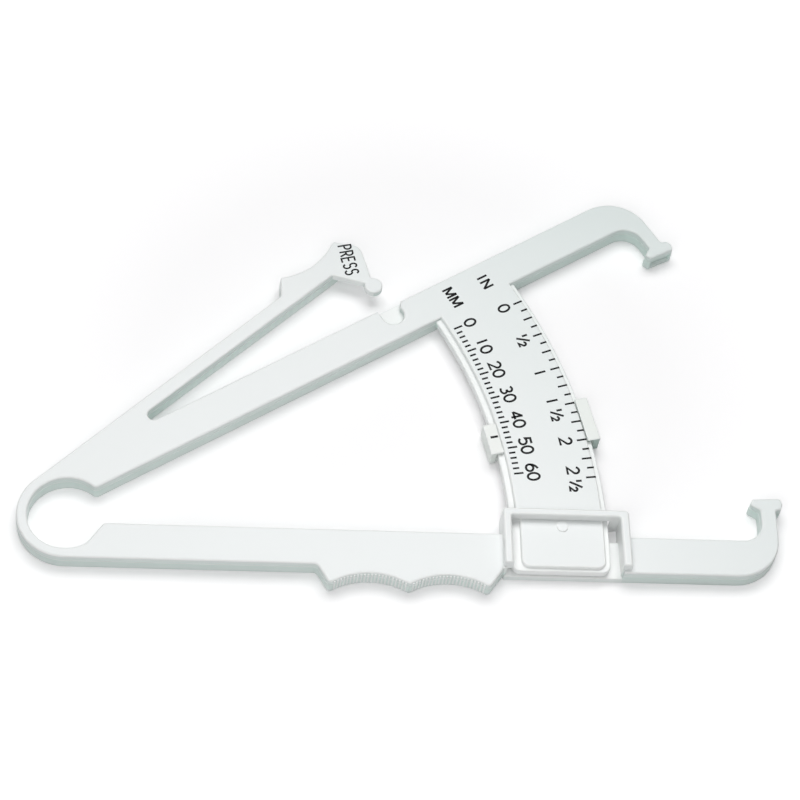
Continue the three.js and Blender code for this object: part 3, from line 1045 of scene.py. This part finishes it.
@dataclass
class UpperHalf:
    """Upper arm with its jaw and socket, the scale plate and the lever's root."""

    finishes: Finishes
    scale: ScaleSizes = field(default_factory=ScaleSizes)
    socket_x: float = 89.373
    socket_y: float = 58.261
    socket_radius: float = 2.55
    throat: float = 2.3
    mouth_lap: float = 0.3
    mouth_slope: Point = (1.25, 2.2)
    mouth_flare: float = 0.35
    entry: float = 24.66
    slit_radius: float = 1.29
    parting: float = 3.05
    mark_x: float = 126.3
    mark_y: float = 3.1
    mark_radius: float = 1.3
    mark_profile: tuple[Point, ...] = ((0.02, -0.04), (0.0, 0.2), (-0.14, 0.25), (-0.4, 0.25))
    jaw: Jaw = field(default_factory=lambda: Jaw(162.0, 3.9, -5.05, 172.92, 10.86, 4.35))

    def plate_edge(self) -> Outline:
        """Edge of the printed face, from the upper arm's inner edge round the tail and back.

        Returns:
            The run of corners.
        """
        scale = self.scale
        inner, outer = scale.face_inner - S.ledge, scale.face_outer + S.ledge
        tail_x, tail_end = scale.tail_x - S.ledge, scale.tail_face_end - S.ledge
        start, end = (meets(radius, S.upper_inner, S.open_angle) for radius in (inner, outer))
        tail = meets(inner, scale.tail_top + scale.tail_slope[0])
        return [
            *arc(0.0, 0.0, inner, start, tail, scale.step),
            Corner(tail_x, scale.tail_top + scale.tail_slope[1]),
            Corner(tail_x, tail_end, scale.tail_radius),
            Corner(outer, tail_end, scale.tail_radius),
            *arc(0.0, 0.0, outer, meets(outer, scale.face_turn), end, scale.step),
        ]

    def flange(self) -> Solid:
        """Lower step of the scale plate: its two rails and the lip round the tail.

        Returns:
            The mesh, in the drawing.
        """
        scale = self.scale
        inner, outer = scale.rail_inner, scale.rail_outer
        level = S.upper_inner + scale.rail_lap
        ends = {
            radius: (meets(radius, level, S.open_angle), meets(radius, scale.rail_turn))
            for radius in (inner, outer)
        }
        outline = [
            *arc(0.0, 0.0, inner, *ends[inner], scale.step),
            Corner(inner - scale.rail_shift, scale.tail_rail_end, scale.tail_radius),
            Corner(outer - scale.rail_shift, scale.tail_rail_end, scale.tail_radius),
            *arc(0.0, 0.0, outer, *reversed(ends[outer]), scale.step),
        ]
        return prism(outline, scale.bottom + scale.seam, scale.rail_top, 0.3, 0.2)

    def tail_mark(self) -> Solid:
        """Low round mark left by the mould on the scale's tail.

        Returns:
            The mesh, in the drawing.
        """
        mesh = bmesh.new()
        rings = []
        for out, rise in self.mark_profile:
            circle = arc(self.mark_x, self.mark_y, self.mark_radius + out, 0.0, 352.5, 7.5)
            rings.append([mesh.verts.new((c.x, c.y, S.thickness + rise)) for c in circle])
        for outer, inner in zip(rings, rings[1:]):
            for index, vertex in enumerate(outer):
                onward = (index + 1) % len(outer)
                mesh.faces.new((vertex, outer[onward], inner[onward], inner[index]))
        mesh.faces.new(rings[-1])
        mesh.faces.new(list(reversed(rings[0])))
        return mesh

    def lightness(self, middle: Vector, normal: Vector) -> float:
        """How much painted light the scale plate gets at a face: its rails and steps, not its
        printed face.

        Args:
            middle: The face's middle in the drawing.
            normal: The face's normal.

        Returns:
            1 for the full painted light, 0 for the arms' own tone.
        """
        scale = self.scale
        plate = self.arm_height(middle.x, middle.y) < S.upper_inner - scale.light_from
        if not plate or math.hypot(middle.x, middle.y) > scale.light_reach:
            return 0.0
        return 0.0 if normal.z > FLAT and middle.z > scale.light_top else 1.0

    @staticmethod
    def arm_height(x: float, y: float) -> float:
        """Distance of a point from the arm's middle line, towards the lever."""
        return y * cosine(S.open_angle) - x * sine(S.open_angle)

    def ring_side(self) -> Outline:
        """Edge of the ring's hole, from the ring's end to the cusp at the arm's inner edge.

        Returns:
            The run of corners.
        """
        level = S.upper_inner - self.arm_height(S.ring_x, S.ring_y)
        cusp = meets(S.ring_hole, level, S.open_angle)
        edge = arc(S.ring_x, S.ring_y, S.ring_hole, 90.0 + S.lever_angle, cusp + 6.0)
        return [*edge, Corner(*on_ring(S.ring_hole, cusp), 1.2)]

    def jaw_run(self, grooved: bool = False) -> Outline:
        """The jaw's corners in the drawing, from the arm's inner edge to its outer edge."""
        corners = turned_all(self.jaw.corners(grooved), S.open_angle, flip=True)
        return list(reversed(corners))

    def at_socket(self, across: float, out: float) -> Corner:
        """Corner by its place across the socket's mouth and out of it."""
        x, y = turned(across, out, self.entry)
        return Corner(self.socket_x + x, self.socket_y + y)

    def socket_edge(self) -> Outline:
        """Edge of the socket's notch in the arm, from its jaw side to its ring side.

        Returns:
            The run of corners.
        """
        bump = math.sqrt(self.socket_radius**2 - self.throat**2)
        start = heading(self.throat, bump)
        reach = S.upper_outer - self.arm_height(self.socket_x, self.socket_y)
        run, rise = self.mouth_slope
        out = reach + self.mouth_lap
        right = self.at_socket(self.throat + run * (out - bump) / rise, out)
        left = self.at_socket(-self.socket_radius - self.mouth_flare, reach - self.mouth_lap)
        curve = arc(0.0, 0.0, self.socket_radius, start, -180.0, 7.0)
        return [right, *(self.at_socket(c.x, c.y) for c in curve), left]

    def root_side(self) -> Outline:
        """From the slit's end round the lever's root to the ring's outside.

        Returns:
            The run of corners.
        """
        apex = crossing(
            turned(0.0, S.upper_outer, S.open_angle),
            S.open_angle,
            turned(0.0, S.lever_inner, S.lever_angle),
            S.lever_angle - S.lever_splay,
        )
        start = S.flexure_start
        return [
            Corner(*apex, self.slit_radius),
            Corner(*turned(start, lever_inner(start), S.lever_angle), 0.0, True),
            Corner(*turned(start, S.lever_outer, S.lever_angle)),
            Corner(*on_ring(S.ring_outer, 90.0 + S.lever_angle), 0.0, True),
        ]

    def build(self) -> list[Piece]:
        """Make the upper half's pieces and put them on their body.

        Returns:
            The pieces.
        """
        near, far = self.ring_side(), self.root_side()
        plain = [*near, *self.jaw_run(), *far]
        cut = [*near, *self.jaw_run(grooved=True), *far]
        upper = [*near, *self.plate_edge(), *self.jaw_run(), *self.socket_edge(), *far]
        solids = [
            *self.jaw.solids(plain, cut, upper, self.parting),
            self.flange(),
            self.tail_mark(),
        ]
        skin = finished("upper_moulding", solids, self.finishes.body, painted_light=self.lightness)
        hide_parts("upper_arm", "upper_jaw", "scale_plate")
        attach(skin, Body.UPPER.value)
        return [skin]


@dataclass
class LeverRoot:
    """Short strip at the slit's end, where the lever bends."""

    finishes: Finishes
    steps: int = 8
    middle: float = -0.2

    def build(self) -> list[Piece]:
        """Make the strip; it is put on neither the arm's body nor the lever's.

        Returns:
            The one piece.
        """
        start, end = S.flexure_start, S.flexure_end
        stations = [start + (end - start) * i / self.steps for i in range(self.steps + 1)]
        inner = opened([Corner(x, lever_inner(x)) for x in stations])
        outer = opened([Corner(x, S.lever_outer) for x in reversed(stations)])
        strip = turned_all([*inner, *outer], S.lever_angle)
        piece = finished("lever_root_skin", moulded(strip), self.finishes.body)
        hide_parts("lever_flexure")
        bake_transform(piece)
        return [piece]


@dataclass
class ClickLever:
    """Thumb lever with its dished pad, thin nose and round click button."""

    finishes: Finishes
    pad_start: float = 88.7
    left_crest: Point = (92.15, 5.87)
    right_crest: Point = (108.7, 5.4)
    crest_radius: float = 0.65
    dip_depth: float = 2.25
    pad_end: Point = (112.76, 0.4)
    pad_shoulder: Point = (110.24, 3.32)
    pad_top: float = 4.3
    nose_x: float = 101.75
    nose_bottom_z: float = 3.2
    nose_foot: Point = (109.99, -5.51)
    nose_side_end: Point = (111.84, -1.88)
    nose_run: float = 1.85
    nose_rise: float = 3.63
    ball_x: float = 107.24
    ball_y: float = -10.21
    ball_radius: float = 2.27
    ball_ends: tuple[Corner, Corner] = (Corner(105.92, -8.52, 0.15), Corner(108.5, -8.1, 0.4))
    seam: float = 0.03

    def thumb_side(self) -> Outline:
        """The pad's upper side in the lever's frame, from its end to the lever's outer edge.

        Returns:
            The run of corners.
        """
        left, right = Vector(self.left_crest), Vector(self.right_crest)
        chord = (right - left).length
        tilt = heading(right.x - left.x, right.y - left.y)
        radius = (chord**2 / 4 + self.dip_depth**2) / (2 * self.dip_depth)
        half = meets(radius, chord / 2)
        rise = radius - self.dip_depth
        dip_x = (left.x + right.x) / 2 - rise * sine(tilt)
        dip_y = (left.y + right.y) / 2 + rise * cosine(tilt)
        foot = 270.0 + tilt
        dip = arc(dip_x, dip_y, radius, foot + half, foot - half, FINE_STEP)
        return [
            Corner(*self.pad_end, 3.0),
            Corner(*self.pad_shoulder, 4.0),
            dip[0]._replace(radius=self.crest_radius),
            *dip[1:-1],
            dip[-1]._replace(radius=self.crest_radius),
            Corner(self.pad_start, S.lever_outer, 0.6),
        ]

    def nose_side(self) -> Outline:
        """The nose and its button in the lever's frame, from the pad's underside to its end.

        Returns:
            The run of corners.
        """
        near, far = self.ball_ends
        return [
            Corner(self.nose_x, lever_inner(self.nose_x), 0.5),
            near,
            *arc(self.ball_x, self.ball_y, self.ball_radius, 142.0, 408.0, 8.0),
            far,
            Corner(*self.nose_foot, 5.0),
            Corner(*self.nose_side_end, 5.0),
        ]

    def lightness(self, middle: Vector, normal: Vector) -> float:
        """How much painted light the nose gets at a face: its sides and rims, not its top.

        Args:
            middle: The face's middle in the drawing.
            normal: The face's normal.

        Returns:
            1 for the full painted light, 0 for the arms' own tone.
        """
        x, y = turned(middle.x, middle.y, -S.lever_angle)
        nose = self.nose_x - 0.5 < x < self.ball_x - 1.5 and y < lever_inner(x) - 0.05
        return 1.0 if nose and normal.z < FLAT else 0.0

    def build(self) -> list[Piece]:
        """Make the lever and put it on its body.

        Returns:
            The one piece.
        """
        start = S.flexure_end
        root = [Corner(start, S.lever_outer, 0.0, True), Corner(start, lever_inner(start))]
        level = lever_inner(self.nose_x)
        foot_x, foot_y = self.nose_foot
        nose_end = Corner(foot_x + (level - foot_y) * self.nose_run / self.nose_rise, level)
        lower, upper = (
            turned_all([*root, *under, *self.thumb_side()], S.lever_angle)
            for under in ([Corner(self.nose_x, level), nose_end], self.nose_side())
        )
        solids = [
            prism(lower, 0.0, S.parting, S.parting_rim, S.rim, 3),
            prism(inset(lower, S.ledge + self.seam), S.parting - S.overlap, self.pad_top),
            prism(inset(upper, S.ledge), self.nose_bottom_z, S.thickness, S.rim),
        ]
        piece = finished("click_lever_skin", solids, self.finishes.body, painted_light=self.lightness)
        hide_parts("thumb_lever", "thumb_pad", "click_nose")
        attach(piece, Body.LEVER.value)
        return [piece]


class Claw(NamedTuple):
    """A claw's sizes: its wall's two sides, its lip's end, its two ends and its top's drop."""

    outer: float
    wall: float
    lip: float
    start: float
    end: float
    drop: float = 0.0


@dataclass
class Slider:
    """Loose slider: a bridge under the scale plate and a claw over each of its rails."""

    finishes: Finishes
    angle: float = 12.8
    bottom: float = 0.4
    top: float = 4.9
    lip_bottom: float = 4.2
    bridge_bottom: float = 0.43
    bridge_top: float = 1.8
    bridge_span: Point = (-3.6, 3.2)
    bridge_lap: float = 0.5
    rim: float = 0.2
    mm_claw: Claw = Claw(113.0, 114.45, 116.03, -4.05, 3.8)
    inch_claw: Claw = Claw(138.8, 137.15, 135.83, -4.7, 1.55)
    inch_end: Claw = Claw(138.8, 137.15, 135.83, 1.3, 6.65, 0.06)

    def claw(self, claw: Claw) -> Solid:
        """An upright wall with a lip over the rail.

        Args:
            claw: The claw's sizes.

        Returns:
            The claw, in the drawing.
        """
        top = self.top - claw.drop
        section = [
            Corner(claw.outer, self.bottom, 0.25),
            Corner(claw.wall, self.bottom),
            Corner(claw.wall, self.lip_bottom, 0.15),
            Corner(claw.lip, self.lip_bottom),
            Corner(claw.lip, top, 0.15),
            Corner(claw.outer, top, 0.25),
        ]
        solid = prism(section, -claw.end, -claw.start, self.rim, self.rim, 3)
        upright = Matrix.Rotation(math.radians(90.0), 4, "X")
        solid.transform(Matrix.Rotation(math.radians(self.angle), 4, "Z") @ upright)
        return solid

    def lightness(self, middle: Vector, normal: Vector) -> float:
        """Painted light on the slider's sides; the inch claw's front end keeps the painted dark
        shade.
        """
        front_end = math.hypot(middle.x, middle.y) > self.inch_claw.lip and normal.y < -0.6
        return 0.0 if normal.z > 0.3 or front_end else 1.0

    def build(self) -> list[Piece]:
        """Make the slider and put it on its body.

        Returns:
            The one piece.
        """
        left = self.mm_claw.wall - self.bridge_lap
        right = self.inch_claw.wall + self.bridge_lap
        front, back = self.bridge_span
        bridge = turned_all(rectangle(left, front, right, back), self.angle)
        solids = [self.claw(claw) for claw in (self.mm_claw, self.inch_claw, self.inch_end)]
        solids.append(prism(bridge, self.bridge_bottom, self.bridge_top, self.rim, self.rim))
        piece = finished("slider_skin", solids, self.finishes.slider, painted_light=self.lightness)
        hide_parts("slider_bridge", "slider_mm_claw", "slider_inch_claw")
        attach(piece, Body.SLIDER.value)
        return [piece]


UPRIGHT: Stroke = [(0.0, 0.0), (0.0, 1.0)]
STEM: Stroke = [(-0.25, 0.0), (-0.25, 1.0), (0.0, 1.0)]
BOWL: Stroke = [*STEM, *bow(0.0, 0.74, 0.26, 0.26, 80.0, -80.0), (-0.25, 0.48)]
GLYPHS: dict[str, list[Stroke]] = {
    "0": [bow(0.0, 0.5, 0.33, 0.5, 90.0, 450.0)],
    "1": [UPRIGHT],
    "2": [[*bow(0.0, 0.7, 0.29, 0.3, 165.0, -30.0), (-0.33, 0.0), (0.34, 0.0)]],
    "3": [bow(-0.02, 0.745, 0.26, 0.255, 145.0, -90.0), bow(-0.03, 0.26, 0.32, 0.26, 90.0, -140.0)],
    "4": [[(0.14, 0.0), (0.14, 1.0)], [(0.16, 0.98), (-0.34, 0.3)], [(-0.38, 0.28), (0.38, 0.28)]],
    "5": [[(0.29, 1.0), (-0.22, 1.0), (-0.27, 0.56), *bow(-0.02, 0.32, 0.32, 0.32, 125.0, -145.0)]],
    "6": [[*bow(0.5, 0.33, 0.82, 0.75, 118.0, 175.0), *bow(0.0, 0.31, 0.32, 0.31, 180.0, 540.0)]],
    "I": [UPRIGHT],
    "N": [[(-0.33, 0.0), (-0.33, 1.0)], [(-0.34, 1.0), (0.34, 0.0)], [(0.33, 0.0), (0.33, 1.0)]],
    "M": [
        [(-0.4, 0.0), (-0.4, 1.0)],
        [(-0.38, 1.0), (0.0, 0.1)],
        [(0.0, 0.1), (0.38, 1.0)],
        [(0.4, 1.0), (0.4, 0.0)],
    ],
    "P": [BOWL],
    "R": [BOWL, [(0.0, 0.48), (0.28, 0.0)]],
    "E": [[(0.25, 1.0), (-0.25, 1.0), (-0.25, 0.0), (0.27, 0.0)], [(-0.25, 0.52), (0.2, 0.52)]],
    "S": [[*bow(0.0, 0.745, 0.25, 0.255, 25.0, 255.0), *bow(0.0, 0.26, 0.27, 0.26, 75.0, -155.0)]],
    "/": [[(-0.3, 0.0), (0.3, 1.0)]],
}


@dataclass
class Marking:
    """Ink strokes on one flat face, all of one width."""

    name: str
    width: float
    height: float
    lift: float = 0.015
    sink: float = 0.02
    sharp: float = 30.0
    strokes: list[Stroke] = field(default_factory=list)

    def write(
        self, glyph: str, place: Point, reading: float, tall: float, wide: float = 1.0
    ) -> None:
        """Add one character.

        Args:
            glyph: The character.
            place: Its centre in the drawing.
            reading: Direction of reading, in degrees.
            tall: Height of the character's centre lines.
            wide: Widening of the character.
        """
        x, y = place
        for stroke in GLYPHS[glyph]:
            points = (turned(gx * tall * wide, (gy - 0.5) * tall, reading) for gx, gy in stroke)
            self.strokes.append([(x + dx, y + dy) for dx, dy in points])

    def band(self, film: Solid, stroke: Stroke) -> None:
        """Add one stroke to the film as a thin flat band.

        Args:
            film: The mesh that takes the band.
            stroke: The band's centre line; it closes where its ends meet.
        """
        closed = math.dist(stroke[0], stroke[-1]) < 1e-6
        points = [Vector(point) for point in (stroke[:-1] if closed else stroke)]
        count = len(points)
        steps = [(points[(i + 1) % count] - points[i]).normalized() for i in range(count)]
        if not closed:
            steps[-1] = steps[-2]
        sections = []
        for index, (point, onward) in enumerate(zip(points, steps)):
            into = steps[index - 1] if closed or index > 0 else onward
            along = (into + onward).normalized()
            reach = self.width / 2 / max(0.5, along.dot(onward))
            side = Vector((-along.y, along.x)) * reach
            rim = ((side, -self.sink), (side, self.lift), (-side, self.lift), (-side, -self.sink))
            sections.append([film.verts.new((*(point + out), self.height + up)) for out, up in rim])
        for index in range(count if closed else count - 1):
            here, there = sections[index], sections[(index + 1) % count]
            for edge in range(4):
                beyond = (edge + 1) % 4
                film.faces.new((here[edge], here[beyond], there[beyond], there[edge]))
        if not closed:
            film.faces.new(sections[0])
            film.faces.new(list(reversed(sections[-1])))

    def build(self, material: bpy.types.Material) -> Piece:
        """Turn the strokes into a thin film of ink.

        Args:
            material: The ink.

        Returns:
            The piece, with its place in its mesh.
        """
        film = bmesh.new()
        for stroke in self.strokes:
            self.band(film, stroke)
        return finished(self.name, [film], material, sharp=self.sharp)


@dataclass
class ScalePrint:
    """Two printed scales of jaw opening, the wording on the pad and the slider's mark."""

    finishes: Finishes
    zero: float = 27.823
    per_mm: float = 0.33037
    inch: float = 25.4
    tick: float = 0.46
    mm_start: float = 117.16
    mm_ends: Point = (118.62, 119.35)
    inch_starts: Point = (134.05, 133.35)
    inch_end: float = 135.63
    figure: float = 0.52
    mm_radius: float = 121.5
    inch_radius: float = 130.75
    halves: tuple[float, ...] = (23.67, 14.37, 6.16)
    half_glyphs: tuple[tuple[str, float, float, float], ...] = (
        ("1", -0.85, 0.8, 1.3),
        ("/", 0.05, 0.0, 2.75),
        ("2", 1.2, -0.7, 1.62),
    )
    inches: tuple[tuple[str, float], ...] = (("1", 19.43), ("1", 15.94), ("2", 11.13), ("2", 7.73))
    units: tuple[tuple[str, float, float, float, float], ...] = (
        ("MM", 31.56, 121.6, 2.65, 2.95),
        ("IN", 31.7, 130.77, 2.65, 2.15),
    )
    press_text: str = "PRESS"
    press_line: float = 0.42
    press_ends: tuple[Point, Point] = ((78.14, 76.75), (79.86, 69.78))
    press_tall: float = 3.1
    press_wide: float = 0.72
    mark_width: float = 0.56
    mark_height: float = 4.9
    mark_ends: Point = (113.95, 115.7)
    mark_y: float = 0.3
    mark_angle: float = 12.8

    def angle_of(self, opening: float) -> float:
        """Angle on the plate of a jaw opening in millimetres."""
        return self.zero - self.per_mm * opening

    def ticks(self) -> Marking:
        """Every tick of both scales.

        Returns:
            The marking.
        """
        marking = Marking("scale_ticks", self.tick, S.thickness)
        spans = [(2.0 * step, self.mm_start, self.mm_ends[step % 5 == 0]) for step in range(31)]
        eighths = [(self.inch * step / 8, self.inch_starts[step % 2 == 0]) for step in range(21)]
        spans += [(opening, start, self.inch_end) for opening, start in eighths]
        for opening, *radii in spans:
            angle = self.angle_of(opening)
            marking.strokes.append([turned(radius, 0.0, angle) for radius in radii])
        return marking

    def word(
        self,
        marking: Marking,
        text: str,
        angle: float,
        radius: float,
        tall: float = 2.7,
        step: float = 2.3,
    ) -> None:
        """Write characters in a row across the scale, their tops outwards.

        Args:
            marking: Where the strokes go.
            text: The characters.
            angle: Angle of the row's middle.
            radius: Radius of the row's middle.
            tall: Height of a character.
            step: Distance between characters.
        """
        for index, glyph in enumerate(text):
            along = (index - (len(text) - 1) / 2) * step
            marking.write(glyph, turned(radius, -along, angle), angle - 90.0, tall)

    def half(self, marking: Marking, angle: float) -> None:
        """Write one half as a small raised figure, a slash and a small lowered figure.

        Args:
            marking: Where the strokes go.
            angle: Angle of the sign's middle.
        """
        for glyph, along, out, tall in self.half_glyphs:
            place = turned(self.inch_radius + out, -along, angle)
            marking.write(glyph, place, angle - 90.0, tall)

    def figures(self) -> Marking:
        """The numbers and the two unit names.

        Returns:
            The marking.
        """
        marking = Marking("scale_figures", self.figure, S.thickness)
        for tens in range(7):
            text = "0" if tens == 0 else f"{tens}0"
            self.word(marking, text, self.angle_of(10.0 * tens), self.mm_radius)
        first, second, third = self.halves
        self.word(marking, "0", self.zero, self.inch_radius)
        self.half(marking, first)
        for inches, angle in self.inches:
            self.word(marking, inches, angle, self.inch_radius)
        self.half(marking, second)
        self.half(marking, third)
        for unit, *place in self.units:
            self.word(marking, unit, *place)
        return marking

    def press(self) -> Marking:
        """The word on the thumb pad.

        Returns:
            The marking.
        """
        marking = Marking("press_wording", self.press_line, S.thickness)
        first, last = (Vector(end) for end in self.press_ends)
        reading = heading(last.x - first.x, last.y - first.y)
        for index, glyph in enumerate(self.press_text):
            place = first.lerp(last, index / (len(self.press_text) - 1))
            marking.write(glyph, (place.x, place.y), reading, self.press_tall, self.press_wide)
        return marking

    def reading_mark(self) -> Marking:
        """The line on the slider's millimetre claw.

        Returns:
            The marking.
        """
        marking = Marking("slider_mark", self.mark_width, self.mark_height)
        marking.strokes.append([turned(x, self.mark_y, self.mark_angle) for x in self.mark_ends])
        return marking

    def build(self) -> list[Piece]:
        """Make all printed pieces and put them on their bodies.

        Returns:
            The pieces.
        """
        pieces = []
        for marking, body, slot in (
            (self.ticks(), Body.UPPER, Slot.BODY),
            (self.figures(), Body.UPPER, Slot.BODY),
            (self.press(), Body.LEVER, Slot.BODY),
            (self.reading_mark(), Body.SLIDER, Slot.SLIDER),
        ):
            piece = marking.build(self.finishes.ink)
            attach(piece, body.value)
            pieces.append(piece)
        return pieces


class Lamp(NamedTuple):
    """A soft rectangular lamp, in metres and watts, and the point it faces."""

    name: str
    place: Place
    size: Point
    watts: float
    aim: Place = (0.0, 0.0, 0.0)


LAMPS = (
    Lamp("key", (0.0, 0.3, 0.68), (0.75, 0.4), 3.4),
    Lamp("near", (0.0, -0.13, 0.2), (0.16, 0.16), 0.12, (0.0, -0.045, 0.0)),
    Lamp("front", (-0.3, -0.52, 0.37), (0.45, 0.45), 0.65),
)


@dataclass
class Studio:
    """Pale floor, soft lamps and the photograph's camera."""

    target: Place = (90.9948, 37.2595, 0.8)
    distance: float = 534.908
    elevation: float = 58.0632
    azimuth: float = -9.6918
    roll: float = 10.1172
    focal_px: float = 2321.65
    sensor: float = 36.0
    floor_colour: tuple[float, float, float, float] = (0.985, 0.98, 0.988, 1.0)
    glow_reach: Point = (0.06, 0.25)
    glow: Point = (0.11, 0.6)
    daylight: Point = (0.2, 1.0)

    def camera(self) -> None:
        """Camera at the photograph's viewing angle."""
        a, e, r = self.azimuth, self.elevation, self.roll
        away = Vector((cosine(e) * sine(a), -cosine(e) * cosine(a), sine(e)))
        right = Vector((cosine(a), sine(a), 0.0))
        up = right.cross(-away)
        across = cosine(r) * right + sine(r) * up
        above = -sine(r) * right + cosine(r) * up
        at = drawing_to_frame() @ (Vector(self.target) + away * self.distance)
        camera = bpy.data.cameras.new("camera")
        camera.sensor_width = self.sensor
        camera.lens = self.focal_px / IMAGE_SIZE * self.sensor
        camera.clip_start = 0.01
        view = linked("camera", camera)
        turn = Matrix((across, above, away)).transposed().to_4x4()
        view.matrix_world = Matrix.Translation(at) @ turn
        bpy.context.scene.camera = view

    def lamps(self) -> None:
        """Every lamp at its place."""
        for name, place, size, watts, aim in LAMPS:
            light = bpy.data.lights.new(name, "AREA")
            light.energy = watts
            light.shape = "RECTANGLE"
            light.size, light.size_y = size
            direction = Vector(aim) - Vector(place)
            turn = direction.to_track_quat("-Z", "Y").to_matrix().to_4x4()
            linked(name, light).matrix_world = Matrix.Translation(place) @ turn

    def floor(self) -> None:
        """White floor that keeps the shadows and shows white elsewhere."""
        mesh = bpy.data.meshes.new("floor")
        sheet = bmesh.new()
        bmesh.ops.create_grid(sheet, x_segments=1, y_segments=1, size=2.0)
        sheet.to_mesh(mesh)
        sheet.free()
        floor = linked("floor", mesh)
        material, tree, shader = shaded("white_floor")
        finish = {"Base Color": self.floor_colour, "Roughness": 0.9, "Specular IOR Level": 0.1}
        feed(tree, shader, finish)
        place = add(tree, "TexCoord").outputs["Object"]
        distance = add(tree, "VectorMath", {0: place}, operation="LENGTH").outputs["Value"]
        limits = zip(("From Min", "From Max", "To Min", "To Max"), (*self.glow_reach, *self.glow))
        reach = add(tree, "MapRange", {"Value": distance, **dict(limits)}).outputs["Result"]
        seen = add(tree, "LightPath").outputs["Is Camera Ray"]
        strength = add(tree, "Math", {0: seen, 1: reach}, operation="MULTIPLY").outputs["Value"]
        glow = add(tree, "Emission", {"Color": (*WHITE, 1.0), "Strength": strength})
        both = add(tree, "AddShader", {0: shader.outputs["BSDF"], 1: glow.outputs["Emission"]})
        feed(tree, tree.nodes["Material Output"], {"Surface": both.outputs["Shader"]})
        mesh.materials.append(material)

    def world(self) -> None:
        """Even white surroundings."""
        world = bpy.data.worlds.new("world")
        bpy.context.scene.world = world
        world.use_nodes = True
        tree = world.node_tree
        seen = add(tree, "LightPath").outputs["Is Camera Ray"]
        dim, bright = self.daylight
        strength = add(tree, "Mix", {"Factor": seen, "A": dim, "B": bright}).outputs["Result"]
        feed(tree, tree.nodes["Background"], {"Color": (*WHITE, 1.0), "Strength": strength})

    def build(self) -> None:
        """Set up the whole studio."""
        self.camera()
        self.world()
        self.floor()
        self.lamps()
        bpy.context.scene.view_settings.view_transform = "Standard"


def main() -> None:
    """Build the object's pieces in order, logging each one's face count, then the studio."""
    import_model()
    finishes = Finishes.build()
    for maker in (LowerHalf, SpringRing, UpperHalf, LeverRoot, ClickLever, Slider, ScalePrint):
        for piece in maker(finishes).build():
            LOG.info("%s: %d faces", piece.name, len(piece.data.polygons))
    Studio().build()


if __name__ == "__main__":
    logging.basicConfig(level=logging.INFO)
    main()
